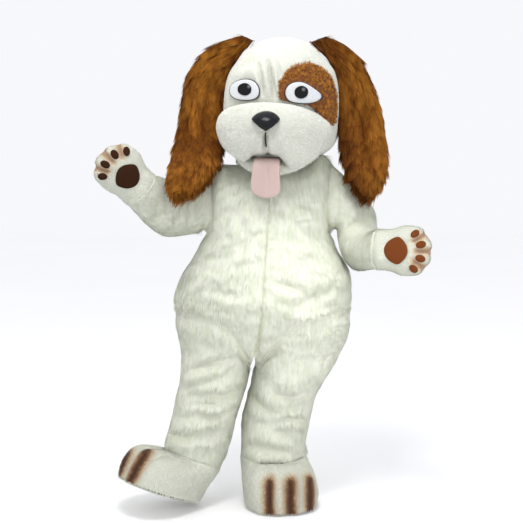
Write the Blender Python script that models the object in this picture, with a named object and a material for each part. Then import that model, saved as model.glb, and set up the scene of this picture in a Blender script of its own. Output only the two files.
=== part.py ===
"""Dog mascot costume: a fur suit with mitts and big paw shoes, and a dog's head, worn open and empty.

Metres, +Z up, the front faces -Y. Shapes are worked out above a floor at z = 0, and a parent empty
lowers them so that the origin is the middle of the suit's neck opening, where the wearer carries it.
"left" and "right" are as seen from the front: left is -X. A wall's outer face is the reach of its pile.
"""

import math

import bmesh
import bpy
import numpy as np

# ---------------------------------------------------------------- driving sizes
NECK_HEIGHT = 1.353          # floor to the middle of the neck
SEAM = 0.0003                # gap between pieces that are sewn or butted
LAID = 0.0007                # gap under a piece that lies on another
LAID_ON_FOAM = 0.0038        # gap under foam that is glued to foam, whose flat facets cross
SUIT_PILE = 0.012            # wall of the suit: cloth and its standing pile
PLUSH_PILE = 0.008           # wall of mitts and shoes
FOAM = 0.016                 # wall of the head: foam and its short fur
LEFT, RIGHT = -1, 1

CROTCH = 0.545               # height of the crotch
HIP = 0.800                  # height where the leg seams reach the outer sides
WAIST_ROWS = 0.845           # rows of the torso follow the leg seams below this height
KNEE_ROWS = 0.470            # rows of the legs are level below this height
FINITE = 0.002               # step of the finite differences that give the normals
SHOULDER_LIFT = {LEFT: 0.034, RIGHT: 0.062}  # the shoulders stand above the foot of the neck

ARMHOLE_MIDDLE = 1.213
ARMHOLE_HALF_HEIGHT = 0.118
ARMHOLE_HALF_SPAN = 0.150    # of the half way round, either side of the side seam
ARMHOLE_STEPS = 7            # from the shoulder to the underarm


class Table:
    """Named columns, read between the rows by a smooth curve that does not overshoot."""

    def __init__(self, columns, *rows):
        self.names = columns.split()
        self.data = np.array(sorted(rows), dtype=float).T

    def __call__(self, name, at):
        keys, values = self.data[0], self.data[self.names.index(name)]
        steps, slopes = np.diff(keys), np.diff(values) / np.diff(keys)
        tangents = np.empty_like(values)
        tangents[0], tangents[-1] = slopes[0], slopes[-1]
        product, total = slopes[:-1] * slopes[1:], slopes[:-1] + slopes[1:]
        tangents[1:-1] = np.where(product > 0, 2 * product / np.where(total == 0, 1, total), 0)
        at = np.clip(np.asarray(at, dtype=float), keys[0], keys[-1])
        k = np.clip(np.searchsorted(keys, at, side="right") - 1, 0, len(steps) - 1)
        s, h = (at - keys[k]) / steps[k], steps[k]
        rise = s * s * (3 - 2 * s)
        bend = s * (1 - s) * ((1 - s) * tangents[k] - s * tangents[k + 1]) * h
        return values[k] + (values[k + 1] - values[k]) * rise + bend


# the suit's body: contour as seen from the front, its front and back, and its middle seam
BODY = Table(
    "z      left    right   front   back   middle",
    (1.415, -0.108, 0.108, -0.098, 0.100, 0.000),
    (1.388, -0.112, 0.112, -0.100, 0.106, 0.000),
    (1.370, -0.138, 0.138, -0.108, 0.126, 0.000),
    (1.358, -0.192, 0.190, -0.122, 0.146, 0.000),
    (1.343, -0.224, 0.222, -0.136, 0.156, -0.001),
    (1.318, -0.242, 0.239, -0.149, 0.166, -0.002),
    (1.285, -0.250, 0.247, -0.162, 0.173, -0.003),
    (1.240, -0.258, 0.254, -0.178, 0.182, -0.006),
    (1.180, -0.256, 0.250, -0.196, 0.188, -0.010),
    (1.110, -0.262, 0.250, -0.214, 0.192, -0.014),
    (1.052, -0.286, 0.264, -0.230, 0.196, -0.019),
    (0.991, -0.322, 0.300, -0.244, 0.205, -0.024),
    (0.930, -0.363, 0.334, -0.258, 0.216, -0.028),
    (0.869, -0.389, 0.336, -0.268, 0.226, -0.031),
    (0.820, -0.396, 0.336, -0.270, 0.230, -0.034),
    (0.760, -0.393, 0.336, -0.262, 0.228, -0.038),
    (0.700, -0.384, 0.329, -0.246, 0.220, -0.045),
    (0.656, -0.375, 0.320, -0.230, 0.210, -0.052),
    (0.614, -0.369, 0.296, -0.212, 0.198, -0.060),
    (0.545, -0.371, 0.263, -0.185, 0.180, -0.073),
)

# the legs: inner and outer contour as seen from the front, front and back
LEGS = {
    LEFT: Table(
        "z      inner   outer   front   back",
        (0.860, -0.031, -0.392, -0.245, 0.205),
        (0.700, -0.045, -0.384, -0.222, 0.190),
        (0.614, -0.060, -0.369, -0.205, 0.176),
        (0.545, -0.073, -0.371, -0.190, 0.162),
        (0.490, -0.085, -0.378, -0.178, 0.150),
        (0.448, -0.097, -0.390, -0.172, 0.140),
        (0.407, -0.109, -0.398, -0.170, 0.130),
        (0.362, -0.124, -0.408, -0.170, 0.118),
        (0.300, -0.138, -0.424, -0.170, 0.100),
        (0.240, -0.154, -0.438, -0.172, 0.084),
        (0.170, -0.182, -0.434, -0.172, 0.066),
        (0.100, -0.226, -0.426, -0.168, 0.040),
    ),
    RIGHT: Table(
        "z      inner   outer   front   back",
        (0.860, -0.031, 0.337, -0.245, 0.205),
        (0.700, -0.045, 0.329, -0.222, 0.192),
        (0.614, -0.060, 0.296, -0.203, 0.180),
        (0.545, -0.073, 0.262, -0.186, 0.168),
        (0.490, -0.083, 0.229, -0.170, 0.158),
        (0.448, -0.094, 0.205, -0.158, 0.150),
        (0.407, -0.105, 0.191, -0.150, 0.143),
        (0.362, -0.119, 0.181, -0.144, 0.138),
        (0.300, -0.123, 0.171, -0.140, 0.132),
        (0.240, -0.124, 0.158, -0.136, 0.126),
        (0.170, -0.124, 0.152, -0.132, 0.120),
        (0.090, -0.120, 0.150, -0.130, 0.116),
    ),
}

# how high the leg seam has climbed, from the crotch (0) to the hip (1), along the way round the half
LEG_SEAM = Table(
    "round climb",
    (0.000, 0.00), (0.030, 0.12), (0.060, 0.36), (0.100, 0.66), (0.160, 0.88), (0.280, 0.97), (0.500, 1.00),
    (0.720, 0.97), (0.840, 0.88), (0.900, 0.66), (0.940, 0.36), (0.970, 0.12), (1.000, 0.00),
)

# folds of the suit: from one end to the other as seen from the front (+1) or the back (-1)
FOLDS = [
    # face  x0      z0     x1      z1     depth  half width
    (1, 0.010, 0.905, 0.150, 0.845, 0.013, 0.020),
    (1, 0.085, 0.815, 0.235, 0.865, 0.010, 0.018),
    (1, -0.115, 1.060, -0.230, 0.960, 0.009, 0.028),
    (1, 0.150, 1.130, 0.215, 0.960, 0.012, 0.026),
    (1, -0.100, 0.470, -0.300, 0.430, 0.018, 0.017),
    (1, -0.140, 0.400, -0.350, 0.365, 0.018, 0.018),
    (1, -0.160, 0.330, -0.400, 0.290, 0.016, 0.016),
    (1, -0.250, 0.590, -0.350, 0.610, 0.009, 0.018),
    (1, -0.060, 0.545, 0.110, 0.400, 0.012, 0.016),
    (1, -0.090, 0.450, 0.075, 0.350, 0.014, 0.015),
    (1, -0.050, 0.365, 0.140, 0.270, 0.022, 0.017),
    (1, -0.120, 0.250, 0.150, 0.232, 0.010, 0.012),
    (-1, -0.120, 0.470, -0.360, 0.450, 0.014, 0.018),
    (-1, -0.140, 0.370, -0.380, 0.350, 0.014, 0.018),
    (-1, -0.090, 0.460, 0.200, 0.430, 0.014, 0.018),
    (-1, -0.110, 0.340, 0.150, 0.320, 0.014, 0.018),
    (-1, -0.200, 0.760, 0.150, 0.770, 0.016, 0.028),
    (-1, -0.180, 1.060, 0.180, 1.050, 0.014, 0.030),
]
GROIN_DEPTH = 0.014
GROIN_HALF_WIDTH = 0.024

# the arms: middle of the sleeve, its half width across and its half depth, from elbow to wrist
ARMS = {
    LEFT: Table(
        "along  x       y       z      across  deep",
        (0.30, -0.300, 0.006, 1.206, 0.122, 0.108),
        (0.62, -0.392, -0.036, 1.190, 0.118, 0.104),
        (1.00, -0.498, -0.128, 1.272, 0.087, 0.080),
    ),
    RIGHT: Table(
        "along  x       y       z      across  deep",
        (0.30, 0.334, -0.006, 1.156, 0.097, 0.102),
        (0.60, 0.354, -0.062, 1.046, 0.104, 0.100),
        (1.00, 0.410, -0.190, 1.048, 0.087, 0.080),
    ),
}


def unit(vectors):
    return vectors / np.linalg.norm(vectors, axis=-1, keepdims=True)


def stack(x, y, z):
    return np.stack(np.broadcast_arrays(x, y, z), axis=-1)


def fade(value):
    """0 to 1, smooth at both ends."""
    value = np.clip(value, 0, 1)
    return value * value * (3 - 2 * value)


# ---------------------------------------------------------------- making solids
def material(name, colour, roughness=0.9, metallic=0.0):
    made = bpy.data.materials.get(name)
    if made is None:
        made = bpy.data.materials.new(name)
        made.use_nodes = True
        shader = made.node_tree.nodes["Principled BSDF"]
        shader.inputs["Base Color"].default_value = (*colour, 1)
        shader.inputs["Roughness"].default_value = roughness
        shader.inputs["Metallic"].default_value = metallic
    return made


def closed_object(name, points, faces, look):
    """One closed solid in the costume's collection, lowered from the floor frame to the neck frame."""
    mesh = bpy.data.meshes.new(name)
    mesh.from_pydata([tuple(map(float, point)) for point in points], [], faces)
    shape = bmesh.new()
    shape.from_mesh(mesh)
    bmesh.ops.remove_doubles(shape, verts=shape.verts, dist=0.000001)
    bmesh.ops.dissolve_degenerate(shape, edges=shape.edges, dist=0.000001)
    bmesh.ops.recalc_face_normals(shape, faces=shape.faces)
    if shape.calc_volume(signed=True) < 0:
        bmesh.ops.reverse_faces(shape, faces=shape.faces)
    shape.to_mesh(mesh)
    shape.free()
    mesh.materials.append(material(*look))
    made = bpy.data.objects.new(name, mesh)
    made.parent = NECK_FRAME
    COSTUME.objects.link(made)
    return made


def wall(name, outer, inner, look, around=False, tip=False):
    """A closed wall between two grids of points. around joins the last column to the first, and tip
    says that the first row is one point."""
    rows, columns = outer.shape[:2]
    count = rows * columns
    points = np.concatenate([outer.reshape(-1, 3), inner.reshape(-1, 3)])
    spans = columns if around else columns - 1

    def at(row, column):
        return row * columns + column % columns

    faces = []
    for row in range(rows - 1):
        for column in range(spans):
            a, b, c, d = at(row, column), at(row, column + 1), at(row + 1, column + 1), at(row + 1, column)
            for corners in ((a, b, c), (a, c, d)):
                faces.append(corners)
                faces.append([corner + count for corner in reversed(corners)])
    edges = [[at(rows - 1, column), at(rows - 1, column + 1)] for column in range(spans)]
    if not tip:
        edges += [[at(0, column + 1), at(0, column)] for column in range(spans)]
    if not around:
        edges += [[at(row + 1, 0), at(row, 0)] for row in range(rows - 1)]
        edges += [[at(row, spans), at(row + 1, spans)] for row in range(rows - 1)]
    for first, second in edges:
        # a rim's diagonal starts at its higher end, so that the rims of two pieces lie face to face
        if points[first][2] > points[second][2]:
            faces += [(second, first, second + count), (first, first + count, second + count)]
        else:
            faces += [(second, first, first + count), (second, first + count, second + count)]
    return closed_object(name, points, faces, look)


def solid(name, grid, look):
    """A filled tube through rings of points, closed at both ends."""
    rows, columns = grid.shape[:2]

    def at(row, column):
        return row * columns + column % columns

    faces = [
        [at(row, column), at(row, column + 1), at(row + 1, column + 1), at(row + 1, column)]
        for row in range(rows - 1)
        for column in range(columns)
    ]
    faces.append([at(0, column) for column in reversed(range(columns))])
    faces.append([at(rows - 1, column) for column in range(columns)])
    return closed_object(name, grid.reshape(-1, 3), faces, look)


# ---------------------------------------------------------------- the suit's surface
def suit_surface(side, t, z):
    """A point of the suit: t goes round one half, from the middle front (0) by the outer side (0.5) to
    the middle back (1). Below the crotch both ends meet at the leg's inner seam."""
    middle = BODY("middle", z)
    reach = (BODY("right", z) if side == RIGHT else BODY("left", z)) - middle
    turn = math.pi * t
    depth = np.where(np.cos(turn) > 0, -BODY("front", z), BODY("back", z))
    out = middle + reach * np.sin(turn)
    lift = SHOULDER_LIFT[side] * fade((np.abs(out) - 0.140) / 0.10) * fade((z - 1.20) / 0.13)
    torso = stack(out, -depth * np.cos(turn), z + lift)
    leg = LEGS[side]
    inner = np.where(z >= CROTCH, middle, leg("inner", z))
    outer, front, back = leg("outer", z), leg("front", z), leg("back", z)
    x = (inner + outer) / 2 + (inner - outer) / 2 * np.cos(2 * turn)
    y = (front + back) / 2 + (front - back) / 2 * np.sin(2 * turn)
    rise = np.clip((z - CROTCH) / (HIP + 0.06 - CROTCH), 0, 1)
    share = np.sqrt(1 - (1 - rise) ** 2)[..., None]
    return torso * share + stack(x, y, z) * (1 - share)


def suit_normal(side, t, z):
    """Outward normal of the suit's surface, by finite differences."""
    near = 0.012
    away = np.where(t < 0.5, np.maximum(t, near), np.minimum(t, 1 - near))
    crotch_end = (np.minimum(t, 1 - t) < 0.10) & (np.abs(z - CROTCH) < near)
    t = np.where((z >= CROTCH) & (z < CROTCH + 0.1), away, t)
    z = np.where(crotch_end, np.where(z >= CROTCH, CROTCH + near, CROTCH - near), z)
    round_way = suit_surface(side, t + FINITE, z) - suit_surface(side, t - FINITE, z)
    up = suit_surface(side, t, z + FINITE) - suit_surface(side, t, z - FINITE)
    return unit(np.cross(round_way, up)) * side


def seam_height(t):
    return CROTCH + (HIP - CROTCH) * LEG_SEAM("climb", t)


def fold_depth(side, t, z, points):
    """How far the folds and the groin crease sink the surface."""
    sunk = np.zeros(np.shape(z))
    for face, x0, z0, x1, z1, depth, half_width in FOLDS:
        along = np.array([x1 - x0, z1 - z0])
        length = np.hypot(*along)
        along = along / length
        dx, dz = points[..., 0] - x0, points[..., 2] - z0
        part = (dx * along[0] + dz * along[1]) / length
        across = (dz * along[0] - dx * along[1]) / half_width
        ends = fade(part * 4) * fade((1 - part) * 4)
        facing = fade(np.sin(2 * math.pi * t) * face * 2.5 + 0.3)
        trough = np.exp(-across**2) - 0.45 * np.exp(-((np.abs(across) - 1.9) ** 2))
        sunk += depth * trough * ends * facing
    groin = np.exp(-(((z - seam_height(t)) / GROIN_HALF_WIDTH) ** 2))
    return sunk + GROIN_DEPTH * groin * fade((0.42 - np.abs(t - 0.5)) * 4 + 0.5)


def suit_points(side, t, z, z_normal=None):
    """Outer and inner points of the suit's wall. Halves part at the middle and side seams."""
    points = suit_surface(side, t, z)
    normal = suit_normal(side, t, z if z_normal is None else z_normal)
    outer = points - normal * fold_depth(side, t, z, points)[..., None]
    inner = outer - normal * SUIT_PILE
    return outer, inner


def part_seams(grids, side, face):
    """Moves a panel off the middle seam and off its side seam by half a gap each."""
    shift = np.array([side * SEAM * 0.7, -face * SEAM * 0.7, 0])
    return [grid + shift for grid in grids]


def armhole_span(z):
    """How far round from the side seam the armhole reaches at a height."""
    level = np.clip((z - ARMHOLE_MIDDLE) / ARMHOLE_HALF_HEIGHT, -1, 1)
    return ARMHOLE_HALF_SPAN * np.sqrt(1 - level**2)


def seam_gap(side, t):
    """Height of half the gap at the leg seam, more where the seam is steep."""
    step = 0.004
    low, high = np.clip(t - step, 0, 1), np.clip(t + step, 0, 1)
    climb = np.abs(seam_height(high) - seam_height(low))
    way = suit_surface(side, high, seam_height(t)) - suit_surface(side, low, seam_height(t))
    return SEAM * 0.6 * np.hypot(1, climb / np.maximum(np.linalg.norm(way, axis=-1), 0.001))


TORSO_COLUMNS = 9
COLLAR_ROWS = (1.415, 1.386, 1.370, 1.357, 1.343)
NECK_SEAT_HIGH, NECK_SEAT_LOW = COLLAR_ROWS[1:3]     # the head's rim sits between these rows


def half_way_round(end):
    """Steps round one half of the suit, closer together near its middle seam."""
    return end * (np.arange(TORSO_COLUMNS + 1) / TORSO_COLUMNS) ** 1.5


def torso_panel(side, face):
    """Front (face 1) or back (-1) panel of one half, from the collar to the leg seam."""
    way = half_way_round(0.5)
    turns = np.linspace(0, math.pi, ARMHOLE_STEPS + 1)
    armhole = ARMHOLE_MIDDLE + ARMHOLE_HALF_HEIGHT * np.cos(turns)
    below = np.linspace(1.045, WAIST_ROWS, 5)
    level = np.concatenate([COLLAR_ROWS, armhole, below])
    down = np.linspace(0, 1, 7)[1:] ** 0.85
    low = seam_height(way)
    heights = [np.full_like(way, z) for z in level] + [WAIST_ROWS + (low - WAIST_ROWS) * d for d in down]
    z = np.array(heights)
    span = np.where((z > armhole[-1]) & (z < armhole[0]), armhole_span(z), 0)
    t = way[None, :] * (0.5 - span) / 0.5
    z_normal = z.copy()
    z_normal[-1, 0] -= 0.010
    if face < 0:
        t = 1 - t
    outer, inner = suit_points(side, t, z, z_normal)
    outer[-1, :, 2] += seam_gap(side, way)
    inner[-1, :, 2] += seam_gap(side, way)
    # at the armhole the wall ends on the mitre that it shares with the sleeve
    edge = slice(len(COLLAR_ROWS), len(COLLAR_ROWS) + ARMHOLE_STEPS + 1)
    inner[edge, -1] = outer[edge, -1] - armhole_mitre(side)[(np.arange(ARMHOLE_STEPS + 1) * face)] * SUIT_PILE
    grids = part_seams([outer, inner], side, face)
    name = f"suit_{'front' if face > 0 else 'back'}_{'right' if side > 0 else 'left'}"
    return wall(name, *grids, CREAM_FUR)


# ---------------------------------------------------------------- shoes
class Frame:
    """A place with its own axes: along x, y and z of the piece's own drawing."""

    def __init__(self, origin, x_axis, y_axis):
        x_axis = unit(np.array(x_axis, dtype=float))
        y_axis = np.array(y_axis, dtype=float)
        y_axis = unit(y_axis - x_axis * np.dot(x_axis, y_axis))
        self.origin = np.array(origin, dtype=float)
        self.axes = np.array([x_axis, y_axis, np.cross(x_axis, y_axis)])

    def out(self, points):
        return self.origin + np.asarray(points) @ self.axes

    def into(self, points):
        return (np.asarray(points) - self.origin) @ self.axes.T


def shoe_frame(heel, yaw, pitch):
    """Shoe's own drawing: toes along -y, z up from the sole, origin under the heel's back edge."""
    yaw, pitch = math.radians(yaw), math.radians(pitch)
    across = (math.cos(yaw), math.sin(yaw), 0)
    back = (-math.sin(yaw) * math.cos(pitch), math.cos(yaw) * math.cos(pitch), -math.sin(pitch))
    return Frame(heel, across, back)


SHOE_LENGTH = 0.360
SHOE_WIDTH = 0.306
SOLE = 0.012
ANKLE_HEIGHT = {LEFT: 0.165, RIGHT: 0.190}
SHOES = {LEFT: shoe_frame((-0.304, -0.050, 0.001), -57, 24), RIGHT: shoe_frame((0.010, 0.127, 0), 9, 0)}
TOE_CREASES = (-0.075, 0.0, 0.075)
TOE_COLUMNS = (-0.118, -0.096, -0.075, -0.056, -0.038, -0.019, 0.0, 0.019, 0.038, 0.056, 0.075, 0.096, 0.118)
HEEL_COLUMNS = 13


def hem_height(side, x, y, gap):
    """Height of the leg's hem, in a plane that lies along the shoe's sole."""
    frame = SHOES[side]
    up = frame.axes[2]
    base = frame.origin + up * (ANKLE_HEIGHT[side] + gap)
    return base[2] - ((x - base[0]) * up[0] + (y - base[1]) * up[1]) / up[2]


def hem_at(side, t, gap):
    """Height at which the leg's surface meets the hem plane."""
    z = np.full(np.shape(t), 0.2)
    for _ in range(30):
        points = suit_surface(side, t, z)
        z = 0.5 * z + 0.5 * hem_height(side, points[..., 0], points[..., 1], gap)
    return z


def leg_panel(side, face):
    """Front or back panel of a leg, from the leg seam to the hem."""
    way = half_way_round(0.5)
    t = way if face > 0 else 1 - way
    top = seam_height(way)
    upper = [top + (KNEE_ROWS - top) * d for d in np.linspace(0, 1, 8)]
    hem = hem_at(side, t, SEAM / 2)
    lower = [KNEE_ROWS + (hem - KNEE_ROWS) * d for d in np.linspace(0, 1, 11)[1:]]
    z = np.array(upper + lower)
    t = np.broadcast_to(t, z.shape)
    z_normal = z.copy()
    z_normal[0, 0] -= 0.010
    outer, inner = suit_points(side, t, z, z_normal)
    outer[0, :, 2] -= seam_gap(side, way)
    inner[0, :, 2] -= seam_gap(side, way)
    inner[-1] = hem_inner(side, outer, t[-1], z[-1])
    name = f"leg_{'front' if face > 0 else 'back'}_{'right' if side > 0 else 'left'}"
    return wall(name, *part_seams([outer, inner], side, face), CREAM_FUR)


def hem_inner(side, outer, t, z):
    """Flattens the hem: moves its outer points into the hem plane and gives the inner ones in it."""
    up = SHOES[side].axes[2]
    level = SHOES[side].origin + up * (ANKLE_HEIGHT[side] + SEAM / 2)
    outer[-1] -= ((outer[-1] - level) @ up)[:, None] * up
    normal = suit_normal(side, t, z)
    flat = unit(normal - (normal @ up)[:, None] * up)
    return outer[-1] - flat * SUIT_PILE


def shoe_outline(angle):
    """Sole outline about the middle of the shoe; angle 0 is the toe end, and toes are scalloped."""
    half_width, half_length = SHOE_WIDTH / 2, SHOE_LENGTH / 2
    power = 2.5
    x, y = np.sin(angle), np.cos(angle)
    radius = (np.abs(x / half_width) ** power + np.abs(y / half_length) ** power) ** (-1 / power)
    heel = 1 - 0.22 * fade((0.35 - y) / 1.1)
    points_x = radius * x * heel
    notch = sum(np.exp(-(((points_x - crease) / 0.016) ** 2)) for crease in TOE_CREASES)
    radius = radius - 0.009 * notch * fade((y - 0.35) * 3)
    return stack(radius * x * heel, -half_length - radius * y, 0 * x)


def shoe_turns():
    """Directions of the shoe's columns: at each toe and crease, and evenly round the heel."""
    trial = np.linspace(-1.35, 1.35, 400)
    toes = np.interp(TOE_COLUMNS, shoe_outline(trial)[:, 0], trial)
    rest = np.linspace(toes[-1], 2 * math.pi + toes[0], HEEL_COLUMNS + 2)[1:-1]
    return np.concatenate([toes, rest])


def shoe(side):
    """Upper from the ankle to the sole's edge, and the sole."""
    frame = SHOES[side]
    label = "right" if side > 0 else "left"
    turns = shoe_turns()
    edge = shoe_outline(turns)
    middle = np.array([0, -SHOE_LENGTH / 2, 0])
    # the ankle ring is the leg's own section at the hem, found by its direction from the ring's middle
    ring_t = np.linspace(0, 1, 241)
    ring = frame.into(suit_surface(side, ring_t, hem_at(side, ring_t, -SEAM / 2)))
    centre = (ring.max(axis=0) + ring.min(axis=0)) / 2
    ring_angle = np.arctan2(ring[:, 0] - centre[0], -(ring[:, 1] - centre[1]))
    order = np.argsort(ring_angle)
    wanted = np.angle(np.exp(1j * turns))
    ankle = stack(
        np.interp(wanted, ring_angle[order], ring[order, 0], period=2 * math.pi),
        np.interp(wanted, ring_angle[order], ring[order, 1], period=2 * math.pi),
        np.full_like(wanted, ANKLE_HEIGHT[side] - SEAM / 2),
    )
    def profile(part, rim, opening, sole_top):
        """Bezier from the opening down and out to the rim of the sole."""
        out = rim - middle
        out = out / np.maximum(np.linalg.norm(out, axis=-1, keepdims=True), 1e-9)
        toe = np.clip(np.cos(turns), 0, 1)[:, None]
        reach = np.linalg.norm(rim[:, :2] - opening[:, :2], axis=-1)[:, None]
        low = rim + np.array([0, 0, sole_top])
        first = opening + out * reach * 0.62 * toe + np.array([0, 0, -0.030]) * (1 - toe)
        last = low + np.array([0, 0, 1.0]) * (0.070 + 0.074 * toe) + out * (0.010 + 0.012 * toe)
        a, b, c, d = (1 - part) ** 3, 3 * (1 - part) ** 2 * part, 3 * (1 - part) * part**2, part**3
        return opening * a + first * b + last * c + low * d
    parts = np.array([0, 0.15, 0.30, 0.45, 0.60, 0.76, 0.90, 1.0])
    outer = np.array([profile(part, edge, ankle, SOLE + SEAM) for part in parts])
    notch = sum(np.exp(-(((outer[..., 0] - crease) / 0.016) ** 2)) for crease in TOE_CREASES)
    toe_zone = fade((-outer[..., 1] - 0.225) / 0.06) * fade(parts * 2.0)[:, None]
    crease_depth = 0.013 * notch * toe_zone
    puff = 0.006 * (1 - notch) * toe_zone
    around = np.roll(outer, -1, axis=1) - np.roll(outer, 1, axis=1)
    down = np.gradient(outer, axis=0)
    normal = unit(np.cross(down, around))
    normal[0] = unit(normal[0] * np.array([1, 1, 0]))
    sign = np.sign(np.sum(normal[4] * (outer[4] - middle), axis=-1).mean())
    normal = normal * sign
    normal[-1] = unit(normal[-1] * np.array([1, 1, 0]))
    outer = outer - normal * (crease_depth - puff)[..., None] * (parts < 1)[:, None, None]
    inner = outer - normal * PLUSH_PILE
    wall(f"shoe_{label}", frame.out(outer), frame.out(inner), SHOE_PLUSH, around=True)
    sole_edge = shoe_outline(turns) * np.array([0.985, 1, 1]) + np.array([0, -0.002, 0])
    sole_edge = middle + (sole_edge - middle) * 0.985
    rings = np.array([middle + 0 * sole_edge, sole_edge])
    up = np.array([0, 0, SOLE])
    wall(f"sole_{label}", frame.out(rings + up), frame.out(rings), SOLE_CLOTH, around=True, tip=True)


# ---------------------------------------------------------------- sleeves and mitts
MITTS = {
    # the palm faces the front: x of the drawing runs to the finger tips, y is the palm's face
    LEFT: Frame((-0.498, -0.128, 1.272), (-0.66, -0.30, 0.69), (0.10, -1.0, 0.10)),
    RIGHT: Frame((0.410, -0.190, 1.048), (0.91, -0.40, 0.00), (-0.28, -1.0, 0.10)),
}
SLEEVE_COLUMNS = 2 * ARMHOLE_STEPS
SLEEVE_ROWS = 12


def turned(vector, before, after):
    """A vector square to one direction, carried by the least turn into the next direction."""
    return vector - np.dot(after, vector) / (1 + np.dot(before, after)) * (before + after)


def armhole_ring(side, turns):
    """The armhole's edge and the suit's normals along it."""
    z = ARMHOLE_MIDDLE + ARMHOLE_HALF_HEIGHT * np.cos(turns)
    t = 0.5 - ARMHOLE_HALF_SPAN * np.sin(turns)
    return suit_points(side, t, z)[0], suit_normal(side, t, z)


def sleeve_rings(side, turns):
    """Rings of the sleeve from the armhole to the wrist, carried along without a twist."""
    rings, keys = [armhole_ring(side, turns)[0]], [0.0]
    arm, mitt_axes = ARMS[side], MITTS[side].axes
    middles = np.vstack([[side * 0.215, 0.0, ARMHOLE_MIDDLE], arm.data[1:4].T])
    run, top, front = np.array([side, 0, 0.0]), np.array([0, 0, 1.0]), np.array([0, -1.0, 0])
    cos, sin = np.cos(turns)[:, None], np.sin(turns)[:, None]
    for station, key in enumerate(arm.data[0], start=1):
        last = station == len(middles) - 1
        ahead = mitt_axes[0] if last else unit(middles[station + 1] - middles[station - 1])
        top, front, run = turned(top, run, ahead), turned(front, run, ahead), ahead
        way = cos * top + sin * front
        wide, deep = arm("across", key), arm("deep", key)
        if last:
            # the wrist is an ellipse along the mitt's own axes
            turn = np.arctan2(way @ mitt_axes[1], way @ mitt_axes[2])[:, None]
            way = np.cos(turn) * mitt_axes[2] * wide + np.sin(turn) * mitt_axes[1] * deep
        else:
            way = cos * top * wide + sin * front * deep
        rings.append(middles[station] + way)
        keys.append(float(key))
    return np.array(keys), np.array(rings)


def through(keys, rings, at):
    """Rings between the given ones, by a smooth curve through each column."""
    slopes = np.gradient(rings, keys, axis=0)
    made = []
    for value in at:
        k = min(np.searchsorted(keys, value, side="right") - 1, len(keys) - 2)
        h = keys[k + 1] - keys[k]
        s = (value - keys[k]) / h
        start, end = rings[k], rings[k + 1]
        made.append(
            start * (2 * s**3 - 3 * s**2 + 1) + end * (3 * s**2 - 2 * s**3)
            + slopes[k] * h * (s**3 - 2 * s**2 + s) + slopes[k + 1] * h * (s**3 - s**2)
        )
    return np.array(made)


BODY_CLEARANCE = 0.003       # an arm that lies against the body keeps this far from it


def off_the_body(points):
    """Moves points of a sleeve that lie in the suit's body out to its side, away from its middle."""
    x, y, z = np.moveaxis(points, -1, 0)
    middle = BODY("middle", z)
    reach = np.where(x > middle, BODY("right", z) - middle, middle - BODY("left", z)) + BODY_CLEARANCE
    depth = np.where(y < 0, -BODY("front", z), BODY("back", z)) + BODY_CLEARANCE
    level = np.hypot((x - middle) / reach, y / depth)
    grow = np.maximum(1, 1 / np.maximum(level, 0.2))
    return stack(middle + (x - middle) * grow, y * grow, z)


SLEEVE_FOLDS = {
    # along, turn (degrees from the top by the front), reach along, reach round, depth
    LEFT: [(0.10, 100, 0.05, 60, 0.012), (0.40, 20, 0.05, 70, 0.016), (0.55, 40, 0.05, 60, 0.016),
           (0.70, 100, 0.05, 55, 0.012), (0.45, 250, 0.05, 60, 0.012)],
    RIGHT: [(0.10, 110, 0.05, 60, 0.012), (0.46, 60, 0.05, 70, 0.016), (0.60, 80, 0.05, 60, 0.016),
            (0.76, 60, 0.05, 55, 0.012), (0.50, 300, 0.05, 60, 0.012)],
}


def sleeve_surface(side):
    """Outer points of a sleeve before its folds, their normals, and the rows' places along it."""
    turns = np.linspace(0, 2 * math.pi, SLEEVE_COLUMNS, endpoint=False)
    rows = np.linspace(0, 1, SLEEVE_ROWS)
    outer = through(*sleeve_rings(side, turns), rows)
    outer[1:] = off_the_body(outer[1:])
    around = np.roll(outer, -1, axis=1) - np.roll(outer, 1, axis=1)
    along = np.gradient(outer, axis=0)
    normal = unit(np.cross(around, along))
    centre = outer.mean(axis=1, keepdims=True)
    if np.sum(normal * (outer - centre)) < 0:
        normal = -normal
    return turns, rows, outer, normal


def armhole_mitre(side):
    """Wall's direction at the armhole seam, halfway between the suit's and the sleeve's."""
    turns, _, _, normal = sleeve_surface(side)
    return unit(armhole_ring(side, turns)[1] + 0.9 * normal[0])


def sleeve(side):
    turns, rows, outer, normal = sleeve_surface(side)
    mitre = armhole_mitre(side)
    weight = fade(rows / 0.22)[:, None, None]
    normal = unit(normal * weight + mitre[None] * (1 - weight))
    run = MITTS[side].axes[0]
    normal[-1] = unit(normal[-1] - (normal[-1] @ run)[:, None] * run)
    degrees = np.degrees(turns)
    room = np.clip(np.linalg.norm(np.gradient(outer, axis=0), axis=-1) / 0.022, 0, 1) ** 2
    for at, turn, reach, spread, depth in SLEEVE_FOLDS[side]:
        off = (degrees - turn + 180) % 360 - 180
        bump = np.exp(-((off / spread) ** 2))[None, :] * np.exp(-(((rows - at) / reach) ** 2))[:, None]
        shown = fade(rows * 8) * fade((1 - rows) * 8)
        outer = outer - normal * (depth * room * bump)[..., None] * shown[:, None, None]
    inner = outer - normal * SUIT_PILE
    # the gap at the armhole is square to the seam's wall
    ring, suit_out = armhole_ring(side, turns)
    off = unit(np.cross(np.roll(ring, -1, axis=0) - np.roll(ring, 1, axis=0), mitre))
    off = off * np.sign(np.sum(off * suit_out, axis=-1, keepdims=True)) * 2 * SEAM
    outer[0] += off
    inner[0] += off
    return wall(f"sleeve_{'right' if side > 0 else 'left'}", outer, inner, CREAM_FUR, around=True)


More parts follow.
